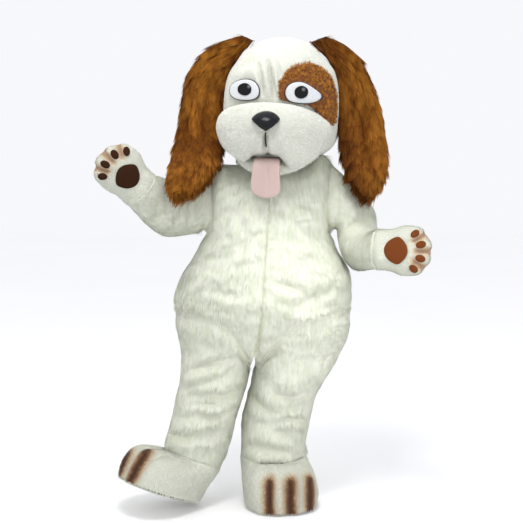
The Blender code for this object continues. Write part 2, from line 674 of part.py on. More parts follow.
MITT_MIDDLE = 0.098          # from the wrist to the middle of the palm
MITT_HALF_WIDTH = 0.104
PALM_HEIGHT = 0.052
BACK_HEIGHT = 0.062
FINGERS = (-51, -17, 17, 51)  # directions of the four fingers from the middle of the palm, degrees
MITT_COLUMNS = (9, 17, 26, 34, 42, 51, 61, 76, 95, 118)
MITT_RINGS = np.array([0, 0.42, 0.72, 0.92, 1.0])


def mitt_reach(angle):
    """Distance from the middle of the palm to the mitt's edge; angle 0 is the way to the tips."""
    degrees = np.degrees(np.angle(np.exp(1j * angle)))
    reach = 0.111 + 0.007 * np.cos(np.radians(degrees)) - 0.012 * fade((np.abs(degrees) - 80) / 60)
    lobes = sum(np.exp(-(((degrees - finger) / 13.0) ** 2)) for finger in FINGERS)
    return reach * (0.93 + 0.115 * lobes * fade((75 - np.abs(degrees)) / 20 + 0.5))


def mitt_edge(side, turns, wrist_gap):
    """Edge of palm or back: round the fingers it lies in the middle plane, at the wrist on the cuff."""
    wide, deep = ARMS[side]("across", 1.0), ARMS[side]("deep", 1.0)
    reach = mitt_reach(turns)
    x = MITT_MIDDLE + reach * np.cos(turns)
    z = reach * np.sin(turns)
    corner = math.atan2(wide, -MITT_MIDDLE)
    degrees = np.angle(np.exp(1j * turns))
    wrist = np.abs(degrees) >= corner - 1e-6
    share = np.where(wrist, (math.pi - np.abs(degrees)) / (math.pi - corner), 0)
    z = np.where(wrist, np.sign(degrees) * wide * np.sin(share * math.pi / 2), z)
    y = np.where(wrist, deep * np.cos(share * math.pi / 2), 0)
    x = np.where(wrist, wrist_gap, x)
    return x, y, z, wrist


def mitt_turns(side):
    corner = math.atan2(ARMS[side]("across", 1.0), -MITT_MIDDLE)
    half = np.append(np.radians(MITT_COLUMNS), corner)
    ahead = np.concatenate([-half[::-1], [0], half])
    behind = np.linspace(corner, 2 * math.pi - corner, 7)[1:-1]
    return np.concatenate([ahead, behind])


def palm_height(side, turns, part, height):
    """Point of the palm's outer face for a direction and a part of the way to the edge."""
    x_edge, y_edge, z_edge, wrist = mitt_edge(side, turns, SEAM)
    x = MITT_MIDDLE + (x_edge - MITT_MIDDLE) * part
    z = z_edge * part
    dome = (1 - part**2.4) ** 0.5
    y = y_edge * part**1.5 + (height - y_edge * part**1.5) * dome
    degrees = np.degrees(np.angle(np.exp(1j * turns)))
    between = sum(np.exp(-(((degrees - gap) / 6.5) ** 2)) for gap in (-34, 0, 34))
    y = y - np.where(wrist, 0, 0.012 * between * fade((part - 0.55) * 4) * (1 - part**8))
    return stack(x, y, z)


def mitt(side):
    """Palm and back of a mitt; they meet round the fingers."""
    frame = MITTS[side]
    label = "right" if side > 0 else "left"
    turns = mitt_turns(side)
    for piece, face, height, look in (("palm", 1, PALM_HEIGHT, CREAM_PLUSH), ("back", -1, BACK_HEIGHT, CREAM_PLUSH)):
        outer = np.array([palm_height(side, turns, part, height) for part in MITT_RINGS])
        around = np.roll(outer, -1, axis=1) - np.roll(outer, 1, axis=1)
        out = np.gradient(outer, axis=0)
        out[0] = outer[1] - outer[0]
        normal = np.cross(around, out)
        normal[0] = np.array([0, 1.0, 0])
        normal = unit(normal)
        normal = normal * np.sign(normal[..., 1:2] + 1e-9)
        _, _, _, wrist = mitt_edge(side, turns, 0)
        flat = unit(outer[-1] - np.array([MITT_MIDDLE, 0, 0]) + 1e-12)
        flat[:, 1] = 0
        cuff = unit(stack(0 * turns, outer[-1][:, 1] / ARMS[side]("deep", 1.0) ** 2,
                          outer[-1][:, 2] / ARMS[side]("across", 1.0) ** 2) + 1e-12)
        normal[-1] = np.where(wrist[:, None], cuff, unit(flat))
        corner = wrist & (np.abs(outer[-1][:, 1]) < 1e-6)
        normal[-1] = np.where(corner[:, None], stack(0 * turns, 0 * turns, np.sign(outer[-1][:, 2])), normal[-1])
        inner = outer - normal * PLUSH_PILE
        inner[-2] = outer[-2] - unit(normal[-2] + normal[-1]) * PLUSH_PILE
        inner[-2, :, 1] = np.maximum(inner[-2, :, 1], 0.001)
        inner[-1, :, 1] = np.maximum(inner[-1, :, 1], 0)
        shift = np.array([0, SEAM * 0.6, 0])
        flip = np.array([1, face, 1])
        grids = [frame.out((grid + shift) * flip) for grid in (outer, inner)]
        wall(f"mitt_{piece}_{label}", *grids, look, around=True, tip=True)
    mitt_pads(side, frame, label)


PADS = [
    # name    along   across  half length  half width
    ("palm", -0.004, 0.000, 0.046, 0.055),
    ("finger_1", 0.058, -0.066, 0.018, 0.014),
    ("finger_2", 0.083, -0.026, 0.019, 0.015),
    ("finger_3", 0.083, 0.026, 0.019, 0.015),
    ("finger_4", 0.058, 0.066, 0.018, 0.014),
]
PAD_THICKNESS = 0.005


def mitt_pads(side, frame, label):
    """Pads of brown felt on the palm and the fingers, made from the palm's own points."""
    turns = np.linspace(0, 2 * math.pi, 12, endpoint=False)
    for name, along, across, half_length, half_width in PADS:
        rows = []
        for part in (0, 0.72, 1.0):
            lead = math.atan2(across, along) if name != "palm" else 0
            dx, dz = half_length * part * np.cos(turns), half_width * part * np.sin(turns)
            if name == "palm":
                dx = dx * (1 - 0.16 * np.cos(turns)) + 0.006 * part * np.cos(3 * turns)
            x = along + dx * math.cos(lead) - dz * math.sin(lead)
            z = across + dx * math.sin(lead) + dz * math.cos(lead)
            angle = np.arctan2(z, x)
            x_edge, _, z_edge, _ = mitt_edge(side, angle, SEAM)
            share = np.hypot(x, z) / np.hypot(x_edge - MITT_MIDDLE, z_edge)
            rows.append(palm_height(side, angle, share, PALM_HEIGHT))
        base = np.array(rows) + np.array([0, LAID * 2, 0])
        rise = np.array([1, 0.9, 0.25])[:, None, None] * np.array([0, PAD_THICKNESS, 0])
        wall(f"pad_{name}_{label}", frame.out(base + rise), frame.out(base), BROWN_FELT, around=True, tip=True)


# ---------------------------------------------------------------- head
HEAD_MIDDLE = (0.046, 0.010, 1.612)
HEAD_YAW, HEAD_PITCH, HEAD_ROLL = -11.0, 6.0, 3.0
SKULL_HALF_WIDTH = 0.208
SKULL_FRONT, SKULL_BACK = 0.205, 0.205
SKULL_TOP, SKULL_BOTTOM = 0.254, 0.262


def head_frame():
    yaw, pitch, roll = (math.radians(a) for a in (HEAD_YAW, HEAD_PITCH, HEAD_ROLL))
    turn = np.array([[math.cos(yaw), -math.sin(yaw), 0], [math.sin(yaw), math.cos(yaw), 0], [0, 0, 1]])
    nod = np.array([[1, 0, 0], [0, math.cos(pitch), -math.sin(pitch)], [0, math.sin(pitch), math.cos(pitch)]])
    lean = np.array([[math.cos(roll), 0, math.sin(roll)], [0, 1, 0], [-math.sin(roll), 0, math.cos(roll)]])
    axes = (lean @ turn @ nod).T
    return Frame(HEAD_MIDDLE, axes[0], axes[1])


HEAD = head_frame()
SKULL_POWER = 2.35
TOP_POWER, BOTTOM_POWER = 2.25, 3.6


def skull_section(z):
    """Half width, front and back depth of the skull at a height of the head's own drawing."""
    tall = np.where(z > 0, SKULL_TOP, SKULL_BOTTOM)
    power = np.where(z > 0, TOP_POWER, BOTTOM_POWER)
    level = np.clip(1 - np.abs(z / tall) ** power, 1e-15, 1) ** (1 / power)
    cheek = 1 + 0.03 * np.exp(-(((z + 0.085) / 0.060) ** 2))
    return SKULL_HALF_WIDTH * level * cheek, SKULL_FRONT * level, SKULL_BACK * level


def face_at(x, z):
    """Depth of the skull's front at a place of the face."""
    half, front, _ = skull_section(z)
    part = np.clip(np.abs(x) / half, 0, 0.999)
    return -front * (1 - part**SKULL_POWER) ** (1 / SKULL_POWER)


def face_normal(x, z):
    """Outward normal of the skull's front at a place of the face."""
    slope_x = (face_at(x + FINITE, z) - face_at(x - FINITE, z)) / (2 * FINITE)
    slope_z = (face_at(x, z + FINITE) - face_at(x, z - FINITE)) / (2 * FINITE)
    return unit(stack(slope_x, -1.0, slope_z))


def before_face(x, z, distance):
    """How far forward of the skull's front a point lies at this distance from its surface."""
    return distance / np.maximum(-face_normal(x, z)[..., 1], 0.33)


def skull_surface(t, lat):
    """t goes round from the middle front (0) by the right (0.5) to the back; lat from the crown (0)."""
    upper = lat < math.pi / 2
    tall, power = np.where(upper, SKULL_TOP, -SKULL_BOTTOM), np.where(upper, TOP_POWER, BOTTOM_POWER)
    z = tall * np.abs(np.cos(lat)) ** (2 / power)
    half, front, back = skull_section(z)
    turn = math.pi * t
    sx, cy = np.sin(turn), np.cos(turn)
    size = (np.abs(sx) ** SKULL_POWER + np.abs(cy) ** SKULL_POWER) ** (-1 / SKULL_POWER)
    return stack(half * sx * size, -np.where(cy > 0, front, back) * cy * size, z + 0 * turn)


SKULL_LATITUDES = np.radians([0, 14, 28, 43, 58, 73, 88, 103, 116, 126])


def skull_panel(face):
    """Front or back half of the head's foam shell, from the crown to the rim on the suit's neck."""
    half = half_way_round(0.5)
    way = np.concatenate([-half[:0:-1], half])
    t = way if face > 0 else 1 - way
    t_grid, lat = np.meshgrid(t, SKULL_LATITUDES)
    step = 0.004
    points = skull_surface(t_grid, lat)
    round_way = skull_surface(t_grid + step, lat) - skull_surface(t_grid - step, lat)
    down = skull_surface(t_grid, lat + step) - skull_surface(t_grid, np.maximum(lat - step, 1e-4))
    normal = np.cross(down, round_way)
    normal[0] = (0, 0, 1.0)
    normal = unit(normal)
    wrinkle = np.exp(-((points[..., 0] / 0.011) ** 2)) * fade((points[..., 2] - 0.045) / 0.03) * fade(
        (0.165 - points[..., 2]) / 0.04) * (points[..., 1] < 0)
    points = points - normal * (0.008 * wrinkle)[..., None]
    inner = points - normal * FOAM
    shift = np.array([0, -face * SEAM / 2, 0])
    outer, inner = HEAD.out(points + shift), HEAD.out(inner + shift)
    rim = {}
    for layer, height in (("outer", NECK_SEAT_LOW), ("inner", NECK_SEAT_HIGH)):
        side_t = np.abs(way) if face > 0 else 1 - np.abs(way)
        z = np.full_like(way, height)
        seat = np.where(
            (way < 0)[:, None],
            suit_surface(LEFT, side_t, z) + suit_normal(LEFT, side_t, z) * LAID * 1.4,
            suit_surface(RIGHT, side_t, z) + suit_normal(RIGHT, side_t, z) * LAID * 1.4,
        )
        rim[layer] = seat + np.array([0, -face * SEAM, 0])
    outer = np.concatenate([outer, [rim["outer"]]])
    inner = np.concatenate([inner, [rim["inner"]]])
    return wall("head_front" if face > 0 else "head_back", outer, inner, FACE_FUR, tip=True)


MUZZLE_MIDDLE = (0.000, -0.088)      # x and z in the head's own drawing
MUZZLE_HALF_WIDTH = 0.210
MUZZLE_UP, MUZZLE_DOWN = 0.104, 0.100
MUZZLE_FRONT = -0.330
MUZZLE_TUCK = math.radians(104)


def muzzle_reach(angle):
    """Distance from the muzzle's middle to its outline; angle 0 is to the right, 90 degrees is up."""
    c, s = np.cos(angle), np.sin(angle)
    tall = np.where(s > 0, MUZZLE_UP, MUZZLE_DOWN)
    power = np.where(s > 0, 2.25, 2.7)
    reach = (np.abs(c / MUZZLE_HALF_WIDTH) ** power + np.abs(s / tall) ** power) ** (-1 / power)
    degrees = np.degrees(angle) % 360
    notch = np.exp(-(((degrees - 270) / 9.0) ** 2))
    return reach - 0.014 * notch


def muzzle_depth(angle, turn):
    """Depth of the muzzle's face for a direction and a turn from its front (0) to its tucked rim."""
    reach = muzzle_reach(angle)
    rim_x = MUZZLE_MIDDLE[0] + reach * math.sin(MUZZLE_TUCK) * np.cos(angle)
    rim_z = MUZZLE_MIDDLE[1] + reach * math.sin(MUZZLE_TUCK) * np.sin(angle)
    rim_y = face_at(rim_x, rim_z) - before_face(rim_x, rim_z, 0.009)
    tuck = math.cos(MUZZLE_TUCK)
    middle = (rim_y - MUZZLE_FRONT * tuck) / (1 - tuck)
    return middle + (MUZZLE_FRONT - middle) * np.cos(turn)


def muzzle_point(angle, turn):
    reach = muzzle_reach(angle) * np.sin(turn)
    x = MUZZLE_MIDDLE[0] + reach * np.cos(angle)
    z = MUZZLE_MIDDLE[1] + reach * np.sin(angle)
    y = muzzle_depth(angle, turn)
    philtrum = np.exp(-((x / 0.010) ** 2)) * fade((MUZZLE_MIDDLE[1] + 0.030 - z) / 0.03)
    return stack(x, y + 0.011 * philtrum * (turn < 1.5), z)


def muzzle_at(x, z):
    """Point of the muzzle's front at a place of the face."""
    dx, dz = x - MUZZLE_MIDDLE[0], z - MUZZLE_MIDDLE[1]
    angle = np.arctan2(dz, dx)
    turn = np.arcsin(np.clip(np.hypot(dx, dz) / muzzle_reach(angle), 0, 0.999))
    return muzzle_point(angle, turn)


def muzzle():
    angles = np.linspace(0, 2 * math.pi, 30, endpoint=False) - math.pi / 2
    angles = angles + 0.12 * np.sin(2 * angles)
    turns = np.radians([0, 18, 36, 54, 72, 90, 104])
    outer = np.array([muzzle_point(angles, np.full_like(angles, turn)) for turn in turns])
    inner = []
    for part in (0, 0.24, 0.46, 0.65, 0.80, 0.92, 1.0):
        x = MUZZLE_MIDDLE[0] + (outer[-1][:, 0] - MUZZLE_MIDDLE[0]) * part
        z = MUZZLE_MIDDLE[1] + (outer[-1][:, 2] - MUZZLE_MIDDLE[1]) * part
        inner.append(stack(x, face_at(x, z) - before_face(x, z, LAID_ON_FOAM), z))
    wall("muzzle", HEAD.out(outer), HEAD.out(np.array(inner)), FACE_FUR, around=True, tip=True)


def nose():
    """Padded nose: a dome that is wide above and narrows to a point below."""
    turns = np.linspace(0, 2 * math.pi, 18, endpoint=False)
    middle_z = MUZZLE_MIDDLE[1] + 0.040
    wide, up, down = 0.058, 0.038, 0.036
    rows_out, rows_in = [], []
    for part in np.radians([0, 26, 50, 72, 90]):
        c, s = np.cos(turns), np.sin(turns)
        reach_x = wide * np.where(s < 0, 1 - 0.35 * s**2, 1 - 0.10 * s)
        x = reach_x * c * math.sin(part)
        z = middle_z + np.where(s > 0, up, down) * s * math.sin(part)
        base = muzzle_at(x, z)
        rise = 0.034 * math.cos(part) ** 0.8 + 0.004
        rows_in.append(base + np.array([0, -LAID * 2, 0]))
        rows_out.append(base + np.array([0, -LAID * 2 - rise, 0]))
    wall("nose", HEAD.out(np.array(rows_out)), HEAD.out(np.array(rows_in)), NOSE_VINYL, around=True, tip=True)


def closed_curve(points, count):
    """A smooth closed outline through a few points."""
    points = np.array(points, dtype=float)
    size = len(points)
    at = np.arange(count) * size / count
    k = at.astype(int)
    s = (at - k)[:, None]
    a, b, c, d = (points[(k + step) % size] for step in (-1, 0, 1, 2))
    return 0.5 * (2 * b + (c - a) * s + (2 * a - 5 * b + 4 * c - d) * s**2 + (3 * b - a - 3 * c + d) * s**3)


def on_face(name, outline, middle, lift, thickness, rings, look):
    """A thin piece laid on the face: its points are the face's own, moved out by lift."""
    middle = np.array(middle)
    base, out = [], []
    for part in rings:
        x, z = (middle + (outline - middle) * part).T
        base.append(stack(x, face_at(x, z), z) + face_normal(x, z) * (2 * LAID + lift))
        out.append(base[-1] + face_normal(x, z) * thickness)
    base, out = np.array(base), np.array(out)
    return wall(name, HEAD.out(out), HEAD.out(base), look, around=True, tip=True)


# the face's pieces, as x and z of the head's own drawing
PATCH_THICKNESS = 0.006
PATCH_LIFT = 0.001
PATCH = [(0.022, 0.052), (0.030, 0.100), (0.062, 0.140), (0.106, 0.158), (0.146, 0.152), (0.178, 0.116),
         (0.196, 0.060), (0.200, 0.010), (0.196, -0.030), (0.166, -0.012), (0.122, 0.012), (0.070, 0.022),
         (0.036, 0.024)]
PATCH_MIDDLE = (0.115, 0.070)
EYES = {
    # outline of the white, its middle, and the pupil's middle
    LEFT: ([(-0.160, 0.050), (-0.140, 0.082), (-0.105, 0.094), (-0.070, 0.086), (-0.050, 0.058),
            (-0.058, 0.026), (-0.100, 0.015), (-0.142, 0.020)], (-0.105, 0.054), (-0.104, 0.056)),
    RIGHT: ([(0.046, 0.052), (0.060, 0.082), (0.098, 0.092), (0.136, 0.074), (0.166, 0.040),
             (0.146, 0.016), (0.100, 0.014), (0.060, 0.022)], (0.102, 0.052), (0.102, 0.054)),
}
PUPIL_RADIUS = 0.024
EYE_RIM = 1.07               # the black backing is this much larger than the white
EYE_SHEET = 0.0015


def eyes():
    for side in (LEFT, RIGHT):
        label = "right" if side > 0 else "left"
        outline, middle, pupil = EYES[side]
        white = closed_curve(outline, 16)
        lift = PATCH_LIFT + PATCH_THICKNESS + 3 * LAID if side > 0 else 0
        rim = np.array(middle) + (white - np.array(middle)) * EYE_RIM
        on_face(f"eye_backing_{label}", rim, middle, lift, EYE_SHEET, (0, 0.5, 1), EYE_BLACK)
        lift += EYE_SHEET + LAID
        on_face(f"eye_white_{label}", white, middle, lift, EYE_SHEET, (0, 0.5, 1), EYE_WHITE)
        turns = np.linspace(0, 2 * math.pi, 14, endpoint=False)
        disc = np.array(pupil) + PUPIL_RADIUS * np.stack([np.cos(turns), np.sin(turns)], axis=-1)
        lift += EYE_SHEET + LAID
        on_face(f"pupil_{label}", disc, pupil, lift, EYE_SHEET, (0, 1), EYE_BLACK)


JAW_MIDDLE = (0.0, -0.232)
JAW_HALF_WIDTH, JAW_HALF_HEIGHT = 0.172, 0.030
JAW_SEAT = -0.196            # below this its back leans forward, clear of the chest
JAW_FRONT = -0.262
JAW_RISE = 0.046             # how much higher its ends lie than its middle


def jaw():
    """Lower jaw: a foam crescent on the head below the muzzle."""
    angles = np.linspace(0, 2 * math.pi, 22, endpoint=False)
    outer, inner = [], []
    for turn in np.radians([0, 24, 48, 70, 90]):
        x = JAW_HALF_WIDTH * np.cos(angles) * math.sin(turn)
        z = JAW_MIDDLE[1] + JAW_HALF_HEIGHT * np.sin(angles) * math.sin(turn) + JAW_RISE * (x / JAW_HALF_WIDTH) ** 2
        on = np.maximum(z, JAW_SEAT)
        back = face_at(x, on) - before_face(x, on, 2 * LAID) - 0.9 * np.maximum(JAW_SEAT - z, 0)
        front = JAW_FRONT * (1 - 0.30 * (x / JAW_HALF_WIDTH) ** 2)
        outer.append(stack(x, back - 0.003 + (front - back + 0.003) * math.cos(turn), z))
        inner.append(stack(x, back, z))
    wall("jaw", HEAD.out(np.array(outer)), HEAD.out(np.array(inner)), FACE_FUR, around=True, tip=True)


TONGUE = Table(
    # along its length: depth, height and half width in the head's own drawing
    "along  y       z       half",
    (0.000, -0.184, -0.1975, 0.046),
    (0.045, -0.250, -0.1975, 0.048),
    (0.075, -0.276, -0.203, 0.050),
    (0.100, -0.287, -0.222, 0.052),
    (0.150, -0.289, -0.262, 0.055),
    (0.190, -0.286, -0.296, 0.058),
    (0.215, -0.284, -0.318, 0.053),
    (0.230, -0.282, -0.332, 0.037),
    (0.236, -0.281, -0.338, 0.014),
)
TONGUE_THICKNESS = 0.006


def tongue():
    along = np.array([0, 0.03, 0.055, 0.075, 0.095, 0.13, 0.165, 0.195, 0.215, 0.228, 0.236])
    across = np.array([-1, -0.6, -0.2, 0, 0.2, 0.6, 1])
    y, z, half = (TONGUE(name, along)[:, None] for name in ("y", "z", "half"))
    front = stack(half * across, y + 0 * across, z + 0 * across)
    run = np.gradient(front[:, 3], axis=0)
    out = unit(np.cross(run, np.array([-1.0, 0, 0])))[:, None, :]
    crease = 0.003 * np.exp(-((across / 0.18) ** 2)) - 0.002 * across**2
    front = front - out * crease[None, :, None] * fade((along - 0.06) / 0.04)[:, None, None]
    back = front - out * TONGUE_THICKNESS
    wall("tongue", HEAD.out(front), HEAD.out(back), TONGUE_FELT)


def philtrum():
    """Black line stitched from the nose to the mouth, a narrow braid on the muzzle."""
    heights = np.linspace(-0.087, -0.146, 6)
    widths = np.array([-0.0018, 0.0018])
    base = np.array([muzzle_at(widths, np.full_like(widths, z)) for z in heights])
    base = base - np.array([0, LAID * 3, 0])
    wall("philtrum", HEAD.out(base - np.array([0, 0.002, 0])), HEAD.out(base), NOSE_VINYL)


EARS = {
    # inner edge and outer edge as seen from the front, middle depth, how far the outer edge lies back
    LEFT: Table(
        "along  in_x    in_z   out_x   out_z   y       lean   half_thick",
        (0.00, -0.052, 1.852, -0.112, 1.880, 0.004, 0.000, 0.014),
        (0.10, -0.080, 1.794, -0.200, 1.852, 0.006, 0.006, 0.024),
        (0.22, -0.128, 1.742, -0.280, 1.804, 0.010, 0.012, 0.030),
        (0.35, -0.158, 1.680, -0.342, 1.700, 0.016, 0.020, 0.032),
        (0.50, -0.166, 1.580, -0.364, 1.572, 0.018, 0.026, 0.032),
        (0.64, -0.180, 1.484, -0.382, 1.466, 0.010, 0.026, 0.032),
        (0.78, -0.184, 1.402, -0.398, 1.374, -0.058, -0.004, 0.032),
        (0.90, -0.228, 1.330, -0.402, 1.296, -0.140, -0.030, 0.030),
        (0.97, -0.262, 1.284, -0.378, 1.262, -0.174, -0.024, 0.024),
        (1.00, -0.298, 1.262, -0.338, 1.257, -0.181, -0.008, 0.012),
    ),
    RIGHT: Table(
        "along  in_x    in_z   out_x   out_z   y       lean   half_thick",
        (0.00, 0.138, 1.842, 0.218, 1.876, 0.004, 0.000, 0.014),
        (0.10, 0.154, 1.788, 0.294, 1.846, 0.006, 0.006, 0.024),
        (0.22, 0.194, 1.742, 0.368, 1.780, 0.010, 0.012, 0.030),
        (0.35, 0.213, 1.660, 0.414, 1.680, 0.016, 0.020, 0.032),
        (0.50, 0.240, 1.560, 0.450, 1.570, 0.018, 0.026, 0.032),
        (0.64, 0.266, 1.450, 0.472, 1.450, 0.004, 0.026, 0.032),
        (0.78, 0.288, 1.360, 0.466, 1.342, -0.046, 0.022, 0.032),
        (0.90, 0.324, 1.290, 0.428, 1.268, -0.094, 0.014, 0.028),
        (0.97, 0.344, 1.258, 0.398, 1.248, -0.112, 0.008, 0.020),
        (1.00, 0.360, 1.244, 0.376, 1.242, -0.116, 0.002, 0.010),
    ),
}
# the ears lie on the head, and the right one on the eye patch too
EAR_CLEARANCE = {LEFT: 0.0022, RIGHT: 0.0009}
PATCH_TOP = 0.170            # highest place of the patch in the head's own drawing


def skull_level(points):
    """Below 1 inside the skull, above 1 outside, for points of the head's own drawing."""
    half, front, back = skull_section(points[..., 2])
    depth = np.where(points[..., 1] < 0, front, back)
    level = np.abs(points[..., 0] / half) ** SKULL_POWER + np.abs(points[..., 1] / depth) ** SKULL_POWER
    return np.where(np.abs(points[..., 2]) > 0.2535, 2.0, level)


def off_the_skull(side, points):
    """Moves points that lie in the skull, or in the eye patch on it, out to its surface."""
    local = HEAD.into(points)
    on_patch = (local[..., 0] > 0) & (local[..., 2] < PATCH_TOP)
    clearance = EAR_CLEARANCE[side] + np.where(on_patch, PATCH_THICKNESS + PATCH_LIFT, 0)
    low, high = np.full(local.shape[:-1], 0.5), np.full(local.shape[:-1], 3.0)
    for _ in range(30):
        middle = (low + high) / 2
        inside = skull_level(local * middle[..., None]) < 1
        low, high = np.where(inside, middle, low), np.where(inside, high, middle)
    near = skull_level(local * (1 - clearance / np.linalg.norm(local, axis=-1))[..., None]) < 1
    length = np.linalg.norm(local, axis=-1, keepdims=True)
    surface = local * high[..., None]
    moved = surface + local / length * clearance[..., None]
    return HEAD.out(np.where(near[..., None], moved, local))


def ear(side):
    """A long flap that hangs from the top of the head; the solid reaches as far as its long pile."""
    shape = EARS[side]
    along = np.array([0, 0.06, 0.13, 0.22, 0.32, 0.43, 0.54, 0.65, 0.76, 0.86, 0.94, 0.98, 1.0])
    turns = np.linspace(0, 2 * math.pi, 14, endpoint=False)
    read = {name: shape(name, along)[:, None] for name in shape.names}
    inner = stack(read["in_x"], read["y"] - read["lean"], read["in_z"])
    outer = stack(read["out_x"], read["y"] + read["lean"], read["out_z"])
    middle, half = (inner + outer) / 2, (outer - inner) / 2
    c, s = np.cos(turns)[None, :, None], np.sin(turns)[None, :, None]
    wide = np.sign(c) * np.abs(c) ** 0.85
    thick = stack(0, read["half_thick"], 0) * s
    grid = off_the_skull(side, middle + half * wide + thick)
    solid(f"ear_{'right' if side > 0 else 'left'}", grid, EAR_FUR)


def main():
    for side in (LEFT, RIGHT):
        for face in (1, -1):
            torso_panel(side, face)
            leg_panel(side, face)
        sleeve(side)
        mitt(side)
        shoe(side)
    skull_panel(1)
    skull_panel(-1)
    muzzle()
    nose()
    philtrum()
    jaw()
    tongue()
    on_face("eye_patch", closed_curve(PATCH, 24), PATCH_MIDDLE, PATCH_LIFT, PATCH_THICKNESS,
            (0, 0.3, 0.55, 0.8, 1), PATCH_FUR)
    eyes()
    ear(LEFT)
    ear(RIGHT)


# looks: name, colour, roughness
CREAM_FUR = ("cream_fur", (0.80, 0.81, 0.74), 0.95)
CREAM_PLUSH = ("cream_plush", (0.82, 0.81, 0.74), 0.95)
SHOE_PLUSH = ("shoe_plush", (0.80, 0.78, 0.71), 0.95)
SOLE_CLOTH = ("sole_cloth", (0.72, 0.71, 0.66), 0.9)
FACE_FUR = ("face_fur", (0.86, 0.87, 0.82), 0.95)
BROWN_FELT = ("brown_felt", (0.17, 0.06, 0.035), 0.9)
NOSE_VINYL = ("nose_vinyl", (0.008, 0.010, 0.010), 0.15)
EAR_FUR = ("ear_fur", (0.42, 0.19, 0.06), 0.95)
PATCH_FUR = ("patch_fur", (0.30, 0.11, 0.04), 0.95)
EYE_BLACK = ("eye_black", (0.010, 0.010, 0.012), 0.5)
EYE_WHITE = ("eye_white", (0.80, 0.80, 0.80), 0.6)
TONGUE_FELT = ("tongue_felt", (0.80, 0.50, 0.50), 0.9)

for old in list(bpy.data.objects):
    bpy.data.objects.remove(old, do_unlink=True)
COSTUME = bpy.data.collections.new("dog_mascot_costume")
bpy.context.scene.collection.children.link(COSTUME)
NECK_FRAME = bpy.data.objects.new("neck_frame", None)
NECK_FRAME.location = (0, 0, -NECK_HEIGHT)
COSTUME.objects.link(NECK_FRAME)
main()
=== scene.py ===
import math

import bmesh
import bpy
import numpy as np
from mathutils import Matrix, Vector, noise
from mathutils.bvhtree import BVHTree
from mathutils.kdtree import KDTree


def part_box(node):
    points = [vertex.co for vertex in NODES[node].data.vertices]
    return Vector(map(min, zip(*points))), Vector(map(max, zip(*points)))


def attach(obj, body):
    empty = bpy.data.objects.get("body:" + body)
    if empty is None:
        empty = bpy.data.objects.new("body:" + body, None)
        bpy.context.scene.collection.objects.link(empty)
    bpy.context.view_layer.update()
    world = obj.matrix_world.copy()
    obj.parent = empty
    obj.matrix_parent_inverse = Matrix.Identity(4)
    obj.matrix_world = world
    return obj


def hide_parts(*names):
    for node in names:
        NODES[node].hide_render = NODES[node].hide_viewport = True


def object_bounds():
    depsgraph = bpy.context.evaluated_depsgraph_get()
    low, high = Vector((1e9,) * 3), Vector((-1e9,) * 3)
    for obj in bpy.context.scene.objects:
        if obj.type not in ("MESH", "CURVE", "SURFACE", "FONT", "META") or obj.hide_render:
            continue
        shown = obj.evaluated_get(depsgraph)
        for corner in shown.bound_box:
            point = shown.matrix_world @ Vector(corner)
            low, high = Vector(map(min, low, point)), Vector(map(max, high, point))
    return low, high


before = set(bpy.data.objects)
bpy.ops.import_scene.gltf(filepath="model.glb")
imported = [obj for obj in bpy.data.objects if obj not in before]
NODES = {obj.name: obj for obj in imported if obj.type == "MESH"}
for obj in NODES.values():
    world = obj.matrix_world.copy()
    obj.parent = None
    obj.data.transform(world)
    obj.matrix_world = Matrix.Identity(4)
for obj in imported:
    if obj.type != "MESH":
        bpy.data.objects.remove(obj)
CAD_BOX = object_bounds()
SIDES = ("left", "right")

BUTT = 0.0010                # rims of sewn pieces lie closer together than this
SHARP = 1.0                  # a wall's outer side ends at edges sharper than this, in radians
OPEN_RIM = 0.020             # height of the slanted rim under the head
NECK_RIM = 0.003             # height of the level rim at the neck
SEAM_WELD = 0.0009           # the seam gap that a continuous surface closes
POINT_WELD = 0.00002         # points of one solid that are the same point
LONG_INSET = 0.0070          # from the tips of the suit's long pile down to its cloth
PLUSH_INSET = 0.0025         # the same for the short plush of mitts and shoes
FACE_INSET = 0.0030          # the same for the short fur on the head's foam
EAR_INSET = 0.0075           # the same for the ears' long fur
SEAM_DEPTH, SEAM_WIDTH = 0.0035, 0.009               # the groove along a seam

TORSO = [f"suit_{face}_{side}" for face in ("front", "back") for side in SIDES]
LEGS = [f"leg_{face}_{side}" for face in ("front", "back") for side in SIDES]
SLEEVES = [f"sleeve_{side}" for side in SIDES]
MITTS = [f"mitt_{face}_{side}" for face in ("palm", "back") for side in SIDES]
SHOES = [f"shoe_{side}" for side in SIDES]
SOLES = [f"sole_{side}" for side in SIDES]
HEAD = ["head_front", "head_back"]


# ---------------------------------------- numbers of a mesh


def unit(vectors):
    return vectors / np.maximum(np.linalg.norm(vectors, axis=-1, keepdims=True), 1e-12)


def points_of(mesh):
    found = np.empty(len(mesh.vertices) * 3, np.float32)
    mesh.vertices.foreach_get("co", found)
    return found.reshape(-1, 3).astype(float)


def set_points(mesh, points):
    mesh.vertices.foreach_set("co", points.astype(np.float32).ravel())
    mesh.update()


def normals_of(mesh):
    found = np.empty(len(mesh.vertices) * 3, np.float32)
    mesh.vertex_normals.foreach_get("vector", found)
    return found.reshape(-1, 3).astype(float)


def edges_of(mesh):
    found = np.empty(len(mesh.edges) * 2, np.int32)
    mesh.edges.foreach_get("vertices", found)
    return found.reshape(-1, 2)


def triangles_of(mesh):
    mesh.calc_loop_triangles()
    found = np.empty(len(mesh.loop_triangles) * 3, np.int32)
    mesh.loop_triangles.foreach_get("vertices", found)
    return found.reshape(-1, 3)


